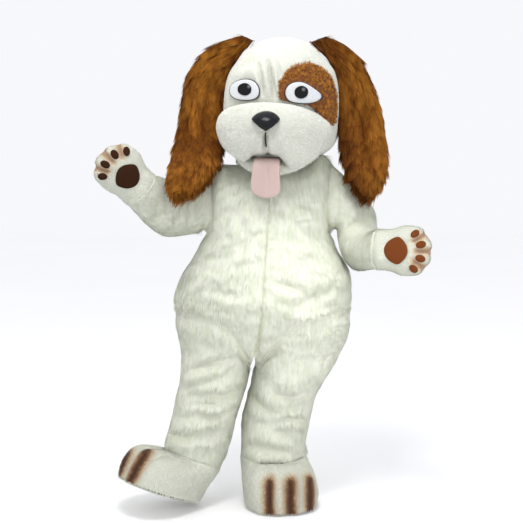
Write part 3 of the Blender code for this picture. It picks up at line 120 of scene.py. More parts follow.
def evened(values, edges, rounds):
    """Each vertex's values, averaged with its neighbours' this many times."""
    values = values.astype(float)
    count = np.bincount(edges.ravel(), minlength=len(values)).astype(float) + 1
    for _ in range(rounds):
        total = values.copy()
        np.add.at(total, edges[:, 0], values[edges[:, 1]])
        np.add.at(total, edges[:, 1], values[edges[:, 0]])
        values = total / (count if values.ndim == 1 else count[:, None])
    return values


def nearest(points, among):
    """For each point, the number of the nearest one of the others, and how far it is."""
    tree = KDTree(len(among))
    for index, point in enumerate(among):
        tree.insert(point, index)
    tree.balance()
    found = [tree.find(point)[1:] for point in points]
    return np.array([index for index, _ in found]), np.array([distance for _, distance in found])


def cloudy(points, size, seed):
    """Soft noise of about -1 to 1 at each point, with lumps of this size."""
    return np.array([noise.fractal(Vector(p) / size + Vector((seed, 0, 0)), 0.7, 2.0, 2) for p in points])


def linked(name, mesh):
    piece = bpy.data.objects.new(name, mesh)
    bpy.context.scene.collection.objects.link(piece)
    return piece


# ---------------------------------------- surfaces taken from the frame


def welded(name):
    shape = bmesh.new()
    shape.from_mesh(NODES[name].data)
    bmesh.ops.remove_doubles(shape, verts=shape.verts, dist=POINT_WELD)
    return shape


def all_faces(name):
    shape = welded(name)
    triangles = [[tuple(vertex.co) for vertex in face.verts] for face in shape.faces]
    shape.free()
    return triangles


def outer_faces(name, family):
    """Corner points of the triangles on a wall's outer side: of the two large patches left once the
    rims, which butt on other pieces of the family or are level, are taken away, the one that
    faces outward."""
    shape = welded(name)
    lowest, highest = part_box(name)
    rims = set()
    for other in family:
        low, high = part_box(other)
        if other == name or any(low[i] > highest[i] + BUTT or high[i] < lowest[i] - BUTT for i in range(3)):
            continue
        neighbour = welded(other)
        tree = BVHTree.FromBMesh(neighbour)
        neighbour.free()
        rims |= {f.index for f in shape.faces if tree.find_nearest(f.calc_center_median(), BUTT)[0]}
    for face in shape.faces:
        # the rims at the neck and under the head butt on nothing
        low, high = (pick(vertex.co.z for vertex in face.verts) for pick in (min, max))
        if name in TORSO and low > highest[2] - NECK_RIM or name in HEAD and high < lowest[2] + OPEN_RIM:
            rims.add(face.index)
    left = {face.index for face in shape.faces} - rims
    shape.faces.ensure_lookup_table()
    patches = []
    while left:
        patch, queue = [], [left.pop()]
        while queue:
            face = shape.faces[queue.pop()]
            patch.append(face)
            bends = [edge for edge in face.edges if edge.calc_face_angle(0) < SHARP]
            for index in {other.index for edge in bends for other in edge.link_faces} & left:
                left.remove(index)
                queue.append(index)
        patches.append(patch)
    patches = sorted(patches, key=lambda patch: -sum(face.calc_area() for face in patch))[:2]
    middle = sum((face.calc_center_median() for patch in patches for face in patch), Vector())
    middle /= sum(len(patch) for patch in patches)

    def outward(patch):
        return sum(f.calc_area() * f.normal.dot(f.calc_center_median() - middle) for f in patch)

    outer = max(patches, key=outward)
    triangles = [[tuple(vertex.co) for vertex in face.verts] for face in outer]
    shape.free()
    return triangles


def smooth_mesh(groups, levels, weld):
    """One mesh through several groups of triangles, with a slot for each group, as smooth quads."""
    shape = bmesh.new()
    for slot, triangles in enumerate(groups):
        for corners in triangles:
            face = shape.faces.new([shape.verts.new(corner) for corner in corners])
            face.material_index = slot
    bmesh.ops.remove_doubles(shape, verts=shape.verts, dist=weld)
    bmesh.ops.dissolve_degenerate(shape, edges=shape.edges, dist=0.0002)
    if weld == SEAM_WELD:
        # tiny triangles in the tips of the seams count as rims and are missing
        open_edges = [edge for edge in shape.edges if edge.is_boundary]
        for face in bmesh.ops.holes_fill(shape, edges=open_edges, sides=6)["faces"]:
            face.material_index = max(b.material_index for edge in face.edges for b in edge.link_faces)
    bmesh.ops.join_triangles(
        shape, faces=shape.faces, cmp_materials=True, angle_face_threshold=1.2, angle_shape_threshold=1.5
    )
    mesh = bpy.data.meshes.new("smooth")
    shape.to_mesh(mesh)
    shape.free()
    for _ in groups:
        mesh.materials.append(None)
    holder = linked("smooth", mesh)
    finer = holder.modifiers.new("finer", "SUBSURF")
    finer.levels = finer.render_levels = levels
    finer.boundary_smooth = "PRESERVE_CORNERS"
    result = bpy.data.meshes.new_from_object(holder.evaluated_get(bpy.context.evaluated_depsgraph_get()))
    bpy.data.objects.remove(holder)
    bpy.data.meshes.remove(mesh)
    return result


RIDGE, RIDGE_OFF = 0.45, 1.9                         # a crease's ridge, in its depths and widths
STEPS = 9                                            # points between two places of a line


class Surface:
    """A smooth mesh over several nodes, shaped by moves along its normals and then cut into pieces."""

    def __init__(self, names, groups, levels, weld=SEAM_WELD):
        self.names = names
        self.mesh = smooth_mesh(groups, levels, weld)
        self.points = points_of(self.mesh)
        self.edges = edges_of(self.mesh)
        self.slots = [set() for _ in self.points]
        for face in self.mesh.polygons:
            for corner in face.vertices:
                self.slots[corner].add(face.material_index)
        self.seams = np.array([len(slots) > 1 for slots in self.slots])
        self.normals = normals_of(self.mesh)

    def of(self, names):
        """Which points belong to these nodes."""
        wanted = {self.names.index(name) for name in names}
        return np.array([bool(slots & wanted) for slots in self.slots])

    def move(self, heights):
        """Moves each point this far along its normal."""
        self.shift(self.normals * heights[:, None])

    def shift(self, vectors):
        self.points = self.points + vectors
        set_points(self.mesh, self.points)
        self.normals = normals_of(self.mesh)

    def tree(self):
        faces = [tuple(face.vertices) for face in self.mesh.polygons]
        return BVHTree.FromPolygons([tuple(point) for point in self.points], faces)

    def near_seams(self, width):
        _, distance = nearest(self.points, self.points[self.seams])
        return np.exp(-((distance / width) ** 2))

    def on_it(self, places, behind=False):
        """Points on the surface under a line of (x, z) places, seen from the front or from behind."""
        tree, found = self.tree(), []
        places = np.array(places, float)
        keys = np.linspace(0, len(places) - 1, STEPS * (len(places) - 1) + 1)
        for key in keys:
            x, z = (np.interp(key, range(len(places)), places[:, i]) for i in range(2))
            start = Vector((x, 2.0 if behind else -2.0, z))
            hit = tree.ray_cast(start, Vector((0, -1 if behind else 1, 0)))[0]
            if hit:
                found.append(tuple(hit))
        return np.array(found).reshape(-1, 3)

    def crease(self, lines, behind=()):
        """Soft troughs, each with a ridge beside it and deepest in its middle, as depth, width and a line
        of (x, z) places, seen from the front or from behind."""
        heights = np.zeros(len(self.points))
        for number, (depth, width, places) in enumerate([*lines, *behind]):
            line = self.on_it(places, number >= len(lines))
            if len(line) < 3:
                continue
            low, high = line.min(0) - 4 * width, line.max(0) + 4 * width
            close = np.flatnonzero(((self.points > low) & (self.points < high)).all(1))
            if not len(close):
                continue
            index, distance = nearest(self.points[close], line)
            part = np.sin(np.pi * np.clip((index + 1.5) / (len(line) + 2), 0, 1)) ** 0.7
            trough = np.exp(-((distance / width) ** 2))
            ridge = RIDGE * np.exp(-(((distance - RIDGE_OFF * width) / width) ** 2))
            heights[close] -= depth * part * (trough - ridge)
        self.move(heights)

    def cut(self, prefix):
        """The pieces by name; each keeps the whole surface's normals, so that seams don't show facets."""
        pieces = {}
        for slot, name in enumerate(self.names):
            faces = [tuple(face.vertices) for face in self.mesh.polygons if face.material_index == slot]
            used = sorted({corner for face in faces for corner in face})
            place = {old: new for new, old in enumerate(used)}
            mesh = bpy.data.meshes.new(prefix + name)
            mesh.from_pydata(
                [tuple(self.points[i]) for i in used], [], [[place[c] for c in face] for face in faces]
            )
            mesh.polygons.foreach_set("use_smooth", [True] * len(mesh.polygons))
            mesh.normals_split_custom_set_from_vertices([tuple(self.normals[i]) for i in used])
            pieces[name] = Skin(linked(prefix + name, mesh), self.points[used], self.normals[used])
        return pieces


def whole(name, levels):
    """A smooth form of one closed solid."""
    return Surface([name], [all_faces(name)], levels, POINT_WELD)


class Skin:
    """A cut piece with its points, normals and triangles, which fur grows on."""

    def __init__(self, piece, points, normals):
        self.piece, self.points, self.normals = piece, points, normals
        self.triangles = triangles_of(piece.data)
        a, b, c = (points[self.triangles[:, i]] for i in range(3))
        self.areas = np.linalg.norm(np.cross(b - a, c - a), axis=1) / 2
        self.area = float(self.areas.sum())


# ---------------------------------------- fur


def down(roots):
    """Fur combed straight down."""
    return np.tile([0.0, 0.0, -1.0], (len(roots), 1))


FAN_WIDTH = 0.08             # distance from the line at which fur fans out in full
OUTER_FAN = 0.25             # share of it on the side away from the head


def along(line, droop=0.0, fan=0.0):
    """Fur combed along a line of points, down a little, and out to its sides, most towards the head."""
    line = np.array(line, float)
    starts, runs = line[:-1], np.diff(line, axis=0)

    def comb(roots):
        best = np.full(len(roots), 1e9)
        way = np.zeros_like(roots)
        for start, run in zip(starts, runs):
            part = np.clip(((roots - start) @ run) / (run @ run), 0, 1)
            off = roots - start - part[:, None] * run
            distance = np.linalg.norm(off, axis=1)
            nearer = distance < best
            best[nearer] = distance[nearer]
            ahead = run / np.linalg.norm(run)
            off = off - (off @ ahead)[:, None] * ahead
            inner = np.abs(roots[:, 0]) < np.abs(start[0] + part * run[0])
            out = fan * np.where(inner, 1.0, OUTER_FAN)[:, None] * off / FAN_WIDTH
            way[nearer] = (ahead + out)[nearer]
        return way + np.array([0, 0, -droop])

    return comb


def away_from(place, lean=(0, 0, 0)):
    """Fur combed away from a place, and leaning one way."""
    place, lean = np.array(place), np.array(lean)

    def comb(roots):
        return unit(roots - place) + lean

    return comb


def scattered(skin, count, rng):
    """Even but random places on a skin, and its normals there."""
    total = np.cumsum(skin.areas)
    at = (np.arange(count) + rng.random(count)) / count * total[-1]
    face = np.minimum(np.searchsorted(total, at), len(total) - 1)
    share = rng.random((count, 2))
    over = share.sum(1) > 1
    share[over] = 1 - share[over]
    share = np.column_stack([1 - share.sum(1), share])[:, :, None]
    corners = skin.triangles[face]
    return (skin.points[corners] * share).sum(1), unit((skin.normals[corners] * share).sum(1))


def blade_mesh(name, rings, facing):
    """Blades as strips of triangles. rings are their roots, pairs of points up their sides, and tips."""
    per, count = len(rings), len(rings[0])
    faces = [(0, 1, 2)]
    for a in range(1, per - 3, 2):
        faces += [(a, a + 2, a + 1), (a + 1, a + 2, a + 3)]
    faces.append((per - 3, per - 1, per - 2))
    faces = (np.arange(count)[:, None, None] * per + np.array(faces)[None]).reshape(-1, 3)
    mesh = bpy.data.meshes.new(name)
    mesh.vertices.add(count * per)
    mesh.vertices.foreach_set("co", np.stack(rings, 1).astype(np.float32).ravel())
    mesh.loops.add(len(faces) * 3)
    mesh.loops.foreach_set("vertex_index", faces.astype(np.int32).ravel())
    mesh.polygons.add(len(faces))
    mesh.polygons.foreach_set("loop_start", np.arange(0, len(faces) * 3, 3, dtype=np.int32))
    mesh.polygons.foreach_set("use_smooth", np.ones(len(faces), bool))
    mesh.update()
    mesh.normals_split_custom_set_from_vertices(np.repeat(facing, per, axis=0).astype(np.float32).tolist())
    return mesh


def fur(
    name, skin, comb, look, *, density, length, width, lie, clump, spread, ruffle, seed,
    clump_size=12, curl=0.0, joints=1, fade=None, stain_and_shade=None,
):
    """Blades of fur on a skin, combed, drawn together in clumps and bent over towards their tips.
    lie is the angle from the skin in radians, fade(roots) is each blade's length as a share, and
    stain(roots) is how much of the look's stain or painted shade it takes."""
    rng = np.random.default_rng(seed)
    count = int(skin.area * density)
    roots, normals = scattered(skin, count, rng)

    heads = rng.choice(count, max(2, count // clump_size), replace=False)
    owner = nearest(roots, roots[heads])[0]
    turns = rng.normal(0, spread, len(heads))[owner] + rng.normal(0, spread * 0.6, count)
    way = comb(roots)
    way = unit(way - normals * (way * normals).sum(1, keepdims=True))
    across = np.cross(normals, way)
    way = unit(way * np.cos(turns)[:, None] + across * np.sin(turns)[:, None])
    across = np.cross(normals, way)

    tall = length * (0.78 + 0.44 * rng.random(count)) * (0.85 + 0.3 * rng.random(len(heads)))[owner]
    if fade is not None:
        tall = tall * fade(roots)
    lift = lie * (0.75 + 0.5 * rng.random(len(heads)))[owner] * (0.85 + 0.3 * rng.random(count))
    sway = rng.normal(0, 1, (len(heads), 2))[owner]

    def spine(part):
        bend = lift * (1.45 - 0.75 * part)
        flat = way * np.cos(bend)[:, None] + normals * np.sin(bend)[:, None]
        wave = curl * tall * np.sin(3.6 * part + sway[:, 0])
        return roots + flat * (tall * part)[:, None] + across * (wave * part)[:, None]

    tips = spine(1.0)
    gather = tips[heads][owner] - tips
    reach = np.linalg.norm(gather, axis=1)
    gather *= (np.minimum(1, 0.6 * tall / np.maximum(reach, 1e-9)) * clump)[:, None]
    half = across * (width * (0.7 + 0.6 * rng.random(count)) / 2)[:, None]
    parts = [(joint + 1) / (joints + 1) for joint in range(joints)]
    rings = [roots]
    for joint, part in enumerate(parts):
        middle = spine(part) + gather * part**1.6
        size = 1.0 if joint == 0 else 0.85
        rings += [middle - half * size, middle + half * size]
    rings.append(tips + gather)

    # a blade is lit mostly as the skin under it is, so that the fur looks soft
    tilt = across * (sway[:, 1] * ruffle + rng.normal(0, ruffle * 0.6, count))[:, None]
    mesh = blade_mesh(name, rings, unit(normals + tilt - way * 0.15))
    values = np.ones((count, len(rings), 4), np.float32)
    values[:, :, 0] = [0.0, *np.repeat(parts, 2), 1.0]
    values[:, :, 1] = rng.random(count)[:, None]
    values[:, :, 2] = rng.random(len(heads))[owner][:, None]
    values[:, :, 3] = 0.0 if stain_and_shade is None else stain_and_shade(roots)[:, None]
    mesh.color_attributes.new("strand", "FLOAT_COLOR", "POINT").data.foreach_set("color", values.ravel())
    mesh.materials.append(look)
    return linked(name, mesh)


def dress(form, prefix, look):
    """Cuts a form into its pieces and gives them a look."""
    for name, skin in form.cut(prefix).items():
        skin.piece.data.materials.append(look)
        skins[name] = skin


def stained(mesh, shares):
    """Gives a skin the stain that the fur on it has."""
    values = np.zeros((len(shares), 4), np.float32)
    values[:, 3] = shares
    mesh.color_attributes.new("strand", "FLOAT_COLOR", "POINT").data.foreach_set("color", values.ravel())


def beside(places, width, most):
    """Most near these places, and none further off."""
    places = np.array(places)

    def share(points):
        return most * np.exp(-((nearest(points, places)[1] / width) ** 2))

    return share


def short_near(places, reach, least=0.12):
    """Blades that are short near these places."""

    def share(points):
        return least + (1 - least) * np.clip((nearest(points, places)[1] - 0.004) / reach, 0, 1)

    return share


def clear_of(names, reach):
    return short_near(np.concatenate([points_of(NODES[name].data) for name in names]), reach)


# ---------------------------------------- materials


class Look:
    """A material with its shader, and short ways to add nodes to it."""

    def __init__(self, name, roughness, sheen=0.0, specular=0.3):
        self.material = bpy.data.materials.new(name)
        self.material.use_nodes = True
        self.tree = self.material.node_tree
        self.shader = self.tree.nodes["Principled BSDF"]
        self.shader.inputs["Roughness"].default_value = roughness
        self.shader.inputs["Sheen Weight"].default_value = sheen
        self.shader.inputs["Specular IOR Level"].default_value = specular
        self.place = self.add("ShaderNodeTexCoord").outputs["Object"]

    def add(self, kind, **values):
        node = self.tree.nodes.new(kind)
        for name, value in values.items():
            setattr(node, name, value)
        return node

    def link(self, source, target):
        self.tree.links.new(source, target)

    def noise(self, size, detail=3.0, roughness=0.6, stretch=(1, 1, 1)):
        """Noise with lumps of this size in metres, as a value."""
        place = self.add("ShaderNodeMapping")
        place.inputs["Scale"].default_value = stretch
        self.link(self.place, place.inputs["Vector"])
        node = self.add("ShaderNodeTexNoise")
        node.inputs["Scale"].default_value = 1 / size
        node.inputs["Detail"].default_value = detail
        node.inputs["Roughness"].default_value = roughness
        self.link(place.outputs["Vector"], node.inputs["Vector"])
        return node.outputs["Fac"]

    def ramp(self, value, *stops):
        """Colours for values: each stop is (value, colour)."""
        node = self.add("ShaderNodeValToRGB")
        marks = node.color_ramp.elements
        while len(marks) < len(stops):
            marks.new(0.5)
        for mark, (place, colour) in zip(marks, stops):
            mark.position = place
            mark.color = (*colour, 1)
        self.link(value, node.inputs["Fac"])
        return node.outputs["Color"]

    def mottled(self, size, dark, light, detail=3.0, low=0.3, high=0.7):
        """Noise from a dark colour to a light one."""
        return self.ramp(self.noise(size, detail), (low, dark), (high, light))

    def mix(self, share, first, second, blend="MIX"):
        node = self.add("ShaderNodeMix", data_type="RGBA", blend_type=blend)
        for socket, value in ((0, share), (6, first), (7, second)):
            if hasattr(value, "is_linked"):
                self.link(value, node.inputs[socket])
            else:
                node.inputs[socket].default_value = (*value, 1) if socket else value
        return node.outputs[2]

    def math(self, operation, first, second):
        node = self.add("ShaderNodeMath", operation=operation, use_clamp=True)
        for socket, value in enumerate((first, second)):
            if hasattr(value, "is_linked"):
                self.link(value, node.inputs[socket])
            else:
                node.inputs[socket].default_value = value
        return node.outputs[0]

    def strand(self):
        """Place along a blade, and a number of its own for each blade and each clump."""
        node = self.add("ShaderNodeAttribute", attribute_name="strand")
        parts = self.add("ShaderNodeSeparateColor")
        self.link(node.outputs["Color"], parts.inputs["Color"])
        return [parts.outputs[i] for i in range(3)] + [node.outputs["Alpha"]]

    def height(self, low, high):
        """0 to 1 from one height to another."""
        parts = self.add("ShaderNodeSeparateXYZ")
        self.link(self.place, parts.inputs[0])
        return self.math("MULTIPLY", self.math("ADD", parts.outputs[2], -low), 1 / (high - low))

    def distance(self, place, reach):
        """0 at a place and 1 this far from it."""
        node = self.add("ShaderNodeVectorMath", operation="DISTANCE")
        self.link(self.place, node.inputs[0])
        node.inputs[1].default_value = place
        return self.math("MULTIPLY", node.outputs["Value"], 1 / reach)

    def colour(self, value):
        self.link(value, self.shader.inputs["Base Color"])
        return self

    def bump(self, height, strength, distance):
        node = self.add("ShaderNodeBump")
        node.inputs["Strength"].default_value = strength
        node.inputs["Distance"].default_value = distance
        self.link(height, node.inputs["Height"])
        self.link(node.outputs["Normal"], self.shader.inputs["Normal"])
        return self


def strand_look(
    name, root, middle, tip, *, patches, patch_size, patch_share, sheen,
    stretch=(1, 1, 1), stain_and_shade=None, dark=0.84, specular=0.2,
):
    """Fur blades: colour from root to tip, each clump a little lighter or darker, with wide patches.
    stain is the stops of a ramp of colours that the blades carry, used for real stains on the shoes and mitts
    and for painted shade along seams and beside the head."""
    look = Look(name, 0.75, sheen, specular)
    place, own, clump, stain_and_shade_share = look.strand()
    base = look.ramp(place, (0.0, root), (0.45, middle), (1.0, tip))
    own_share, clump_share = (look.math("MULTIPLY", value, 0.5) for value in (own, clump))
    shade = look.ramp(look.math("ADD", own_share, clump_share), (0.1, (dark,) * 3), (0.9, (1.0, 1.0, 1.0)))
    base = look.mix(1.0, base, shade, "MULTIPLY")
    wide = look.noise(patch_size, 3.0, stretch=stretch)
    wide = look.ramp(wide, (0.38, (0, 0, 0)), (0.66, (patch_share,) * 3))
    base = look.mix(wide, base, look.mix(1.0, base, patches, "MULTIPLY"))
    if stain_and_shade:
        base = look.mix(1.0, base, look.ramp(stain_and_shade_share, (0.0, (1, 1, 1)), *stain_and_shade), "MULTIPLY")
    look.colour(base)
    return look.material


def backing_look(name, colour, darker, fibre, sheen=0.3, stain_and_shade=None, shade=None):
    """Cloth under fur, or short plush: fine fibres as bump and colour. stain is the stops of a ramp of
    colours, and shade is (low, high, colour), painted shade: a darker colour towards the higher place."""
    look = Look(name, 0.92, sheen, 0.15)
    fibres = look.noise(fibre, 4.0, 0.7)
    wide = look.noise(0.10, 3.0)
    base = look.mix(look.ramp(fibres, (0.3, (1, 1, 1)), (0.7, (0, 0, 0))), colour, darker)
    tint = look.ramp(wide, (0.35, (0.95, 0.96, 0.92)), (0.7, (1.0, 1.0, 1.0)))
    base = look.mix(1.0, base, tint, "MULTIPLY")
    if stain_and_shade:
        base = look.mix(1.0, base, look.ramp(look.strand()[3], (0.0, (1, 1, 1)), *stain_and_shade), "MULTIPLY")
    if shade:
        base = look.mix(look.height(*shade[:2]), base, shade[2])
    look.colour(base)
    look.bump(fibres, 0.6, 0.0012)
    return look.material


# ---------------------------------------- the suit, mitts and shoes

# the right shoulder's fur stands up against the cheek
CHEEK_X, CHEEK_Z = 0.190, 0.005
CHEEK_WIDTH, CHEEK_HEIGHT = 0.055, 0.060
SHOULDER_RISE = 0.024

# the fur is evened this far from the leg seams, above the crotch, and fills a hollow below their ends
HIP_WIDTH = 0.060
CROTCH, CROTCH_BAND = -0.74, 0.08
HOLLOW_Z, HOLLOW_WIDTH, HOLLOW_DEPTH = -0.553, 0.019, 0.0095
SHALLOW = 0.15               # share of a seam's groove that is left at the hips and the wrists

# the legs' hems roll over the shoes' ankles, with a groove below them
ROLL, ROLL_ABOVE, ROLL_WIDTH = 0.0090, 0.024, 0.017
ANKLE_GROOVE, ANKLE_GROOVE_WIDTH = 0.0050, 0.010


def raise_shoulder():
    x, z = suit.points[:, 0], suit.points[:, 2]
    off = ((x - CHEEK_X) / CHEEK_WIDTH) ** 2 + ((z - CHEEK_Z) / CHEEK_HEIGHT) ** 2
    up = np.zeros_like(suit.points)
    up[:, 2] = SHOULDER_RISE * np.exp(-off) * suit.of(TORSO)
    suit.shift(up)


def smooth_hips():
    """Evens the suit over the leg seams and fills the hollow below them. Returns the seams' points, and
    each point's share in it."""
    z = suit.points[:, 2]
    seams = suit.points[suit.of(TORSO) & suit.of(LEGS)]
    close = np.exp(-((nearest(suit.points, seams)[1] / HIP_WIDTH) ** 2))
    close *= np.clip((z - CROTCH) / CROTCH_BAND, 0, 1)
    level = suit.points
    for _ in range(24):
        # each round of evening is followed by one that gives back the wide form
        pulled = evened(level, suit.edges, 3)
        level = pulled + 1.03 * (pulled - evened(pulled, suit.edges, 3))
    suit.shift((level - suit.points) * close[:, None])
    hollow = np.exp(-(((z - HOLLOW_Z) / HOLLOW_WIDTH) ** 2)) * suit.normals[:, 0] ** 2
    suit.move(HOLLOW_DEPTH * hollow * close)
    return seams, close


def roll_hems():
    off = nearest(suit.points, suit.points[suit.of(LEGS) & suit.of(SHOES)])[1]
    roll = ROLL * np.exp(-(((off - ROLL_ABOVE) / ROLL_WIDTH) ** 2)) * (suit.of(LEGS) & ~suit.of(SHOES))
    suit.move(roll - ANKLE_GROOVE * np.exp(-((off / ANKLE_GROOVE_WIDTH) ** 2)))


suit_names = TORSO + LEGS + SLEEVES + MITTS + SHOES
suit_family = suit_names + SOLES
suit = Surface(suit_names, [outer_faces(name, suit_family) for name in suit_names], 2)
depth = np.where(suit.of(TORSO + LEGS + SLEEVES), LONG_INSET, PLUSH_INSET)
suit.move(-evened(depth, suit.edges, 30))
suit.crease([
    (0.0065, 0.020, [(0.015, -0.405), (0.060, -0.430), (0.110, -0.450), (0.165, -0.466)]),
    (0.0065, 0.019, [(0.080, -0.500), (0.125, -0.492), (0.170, -0.478), (0.232, -0.452)]),
    (0.0100, 0.018, [(-0.325, -0.796), (-0.270, -0.770), (-0.215, -0.750), (-0.140, -0.722)]),
    (0.0045, 0.019, [(-0.230, -0.440), (-0.160, -0.462), (-0.095, -0.470)]),
    (0.0050, 0.018, [(-0.120, -0.160), (-0.105, -0.230), (-0.112, -0.300)]),
    (0.0045, 0.016, [(0.120, -0.150), (0.108, -0.215), (0.118, -0.270)]),
    (0.0075, 0.014, [(-0.300, -0.880), (-0.235, -0.868), (-0.180, -0.884)]),
    (0.0070, 0.013, [(-0.285, -0.950), (-0.225, -0.962), (-0.150, -0.945)]),
    (0.0065, 0.014, [(0.150, -0.870), (0.095, -0.888), (0.030, -0.880)]),
    (0.0070, 0.012, [(0.130, -0.990), (0.075, -0.978), (0.020, -0.992)]),
], [
    (0.0080, 0.017, [(-0.200, -0.420), (-0.100, -0.445), (0.020, -0.436)]),
    (0.0085, 0.015, [(0.045, -0.500), (0.140, -0.488), (0.220, -0.458)]),
    (0.0090, 0.018, [(-0.270, -0.745), (-0.170, -0.705), (-0.060, -0.692)]),
    (0.0080, 0.016, [(0.245, -0.730), (0.150, -0.700), (0.050, -0.690)]),
    (0.0075, 0.014, [(-0.300, -0.925), (-0.220, -0.902), (-0.150, -0.914)]),
    (0.0070, 0.013, [(0.170, -0.930), (0.110, -0.908), (0.040, -0.922)]),
    (0.0060, 0.016, [(-0.110, -0.150), (-0.100, -0.230), (-0.118, -0.290)]),
])

raise_shoulder()
hip_seams, hip_share = smooth_hips()
wrist_seams = suit.points[suit.of(SLEEVES) & suit.of(MITTS)]
shallow = (hip_share > 0.6) | (nearest(suit.points, wrist_seams)[1] < 0.03)
suit.move(-SEAM_DEPTH * suit.near_seams(SEAM_WIDTH) * np.where(shallow, SHALLOW, 1.0))
roll_hems()
suit.move(0.0022 * cloudy(suit.points, 0.085, 3.0) + 0.0010 * cloudy(suit.points, 0.030, 8.0))

# the brown airbrushed lines: down the shoes' toes, and between the toes of the mitts
STRIPES = [
    [(-0.001, -1.220), (-0.001, -1.280), (0.000, -1.338)],
    [(0.080, -1.218), (0.080, -1.278), (0.081, -1.338)],
    [(0.156, -1.224), (0.157, -1.280), (0.157, -1.338)],
    [(-0.470, -1.075), (-0.515, -1.150), (-0.552, -1.220)],
    [(-0.540, -1.075), (-0.567, -1.130), (-0.594, -1.200)],
    [(-0.598, -1.105), (-0.610, -1.135), (-0.620, -1.165)],
]


def middle_of(name):
    low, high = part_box(name)
    return np.array([low[0] + high[0], low[2] + high[2]]) / 2


def toe_gaps(side):
    """Lines on the palm between the toe pads, from beside the big pad out to the edge."""
    palm = middle_of(f"pad_palm_{side}")
    toes = [middle_of(f"pad_finger_{number}_{side}") for number in (1, 2, 3, 4)]
    return [[palm + (a + b - 2 * palm) * share for share in (0.42, 0.6, 0.8)] for a, b in zip(toes, toes[1:])]


gaps = [line for side in SIDES for line in toe_gaps(side)]
grooves = [(0.0050, 0.009, line) for line in STRIPES]
suit.crease(grooves + [(0.0055, 0.009, line) for line in gaps])
shoe_stain = beside(np.concatenate([suit.on_it(line) for line in STRIPES]), 0.025, 1.0)
mitt_stain = beside(np.concatenate([suit.on_it(line) for line in gaps]), 0.017, 0.9)
middle_seam = suit.seams & suit.of(TORSO) & ~suit.of(LEGS + SLEEVES) & (suit.points[:, 2] > -0.70)
hem_clear = short_near(np.concatenate([hip_seams, wrist_seams]), 0.040, 0.35)
ankle_clear = short_near(suit.points[suit.of(LEGS) & suit.of(SHOES)], 0.030, 0.40)
# painted shade: the fur along the middle seam and the sleeves' seams is drawn darker, as in their grooves'
# shade
seam_painted_shade = beside(suit.points[middle_seam | suit.seams & suit.of(SLEEVES)], 0.006, 0.8)
skins = suit.cut("cloth_")

cream_cloth = backing_look("cream fur cloth", (0.66, 0.67, 0.56), (0.56, 0.57, 0.47), 0.004)
# stains and painted shade as stops of a share and the colour that it multiplies the fur by
AIRBRUSH = [(0.30, (0.80, 0.62, 0.48)), (0.70, (0.30, 0.14, 0.075)), (1.0, (0.10, 0.045, 0.028))]
BLUSH = [(0.30, (0.95, 0.86, 0.78)), (0.70, (0.82, 0.60, 0.47)), (1.0, (0.50, 0.27, 0.17))]
# painted shade for the seams' grooves, not a stain
SEAM_PAINTED_SHADE = [(1.0, (0.66, 0.66, 0.50))]
PLUSH_STAINS = {"shoe": AIRBRUSH, "mitt": BLUSH}
plush_cloths = {
    kind: backing_look(f"cream plush {kind}", (0.68, 0.69, 0.61), (0.58, 0.59, 0.51), 0.003, stain_and_shade=stops)
    for kind, stops in PLUSH_STAINS.items()
}
cream_strands = strand_look(
    "long cream fur", (0.65, 0.66, 0.55), (0.71, 0.725, 0.625), (0.76, 0.772, 0.68),
    patches=(0.84, 0.87, 0.77), patch_size=0.012, patch_share=0.85, sheen=0.15, stretch=(1, 1, 0.12),
    stain_and_shade=SEAM_PAINTED_SHADE, dark=0.95,
)
sole_cloth = backing_look("sole cloth", (0.58, 0.58, 0.52), (0.46, 0.46, 0.40), 0.003)
plush_strands = {
    kind: strand_look(
        f"cream plush pile {kind}", (0.66, 0.67, 0.58), (0.73, 0.745, 0.655), (0.78, 0.795, 0.705),
        patches=(0.90, 0.92, 0.84), patch_size=0.05, patch_share=0.4, sheen=0.15, stain_and_shade=stops, dark=0.95,
    )
    for kind, stops in PLUSH_STAINS.items()
}

# the middles of arms and legs, which the fur follows
ARM_LINES = {
    "left": [(-0.15, 0.01, -0.15), (-0.300, 0.006, -0.161), (-0.392, -0.036, -0.167),
             (-0.498, -0.128, -0.081)],
    "right": [(0.20, 0.01, -0.15), (0.331, -0.006, -0.199), (0.354, -0.062, -0.307),
              (0.410, -0.190, -0.305)],
}
LEG_LINES = {
    "left": [(-0.13, 0, -0.45), (-0.20, 0, -0.75), (-0.24, -0.02, -1.0), (-0.34, -0.06, -1.22)],
    "right": [(0.13, 0, -0.45), (0.10, 0, -0.80), (0.03, 0.0, -1.25)],
}
ANKLES = {"left": (-0.300, -0.060, -1.080), "right": (0.020, 0.060, -1.130)}

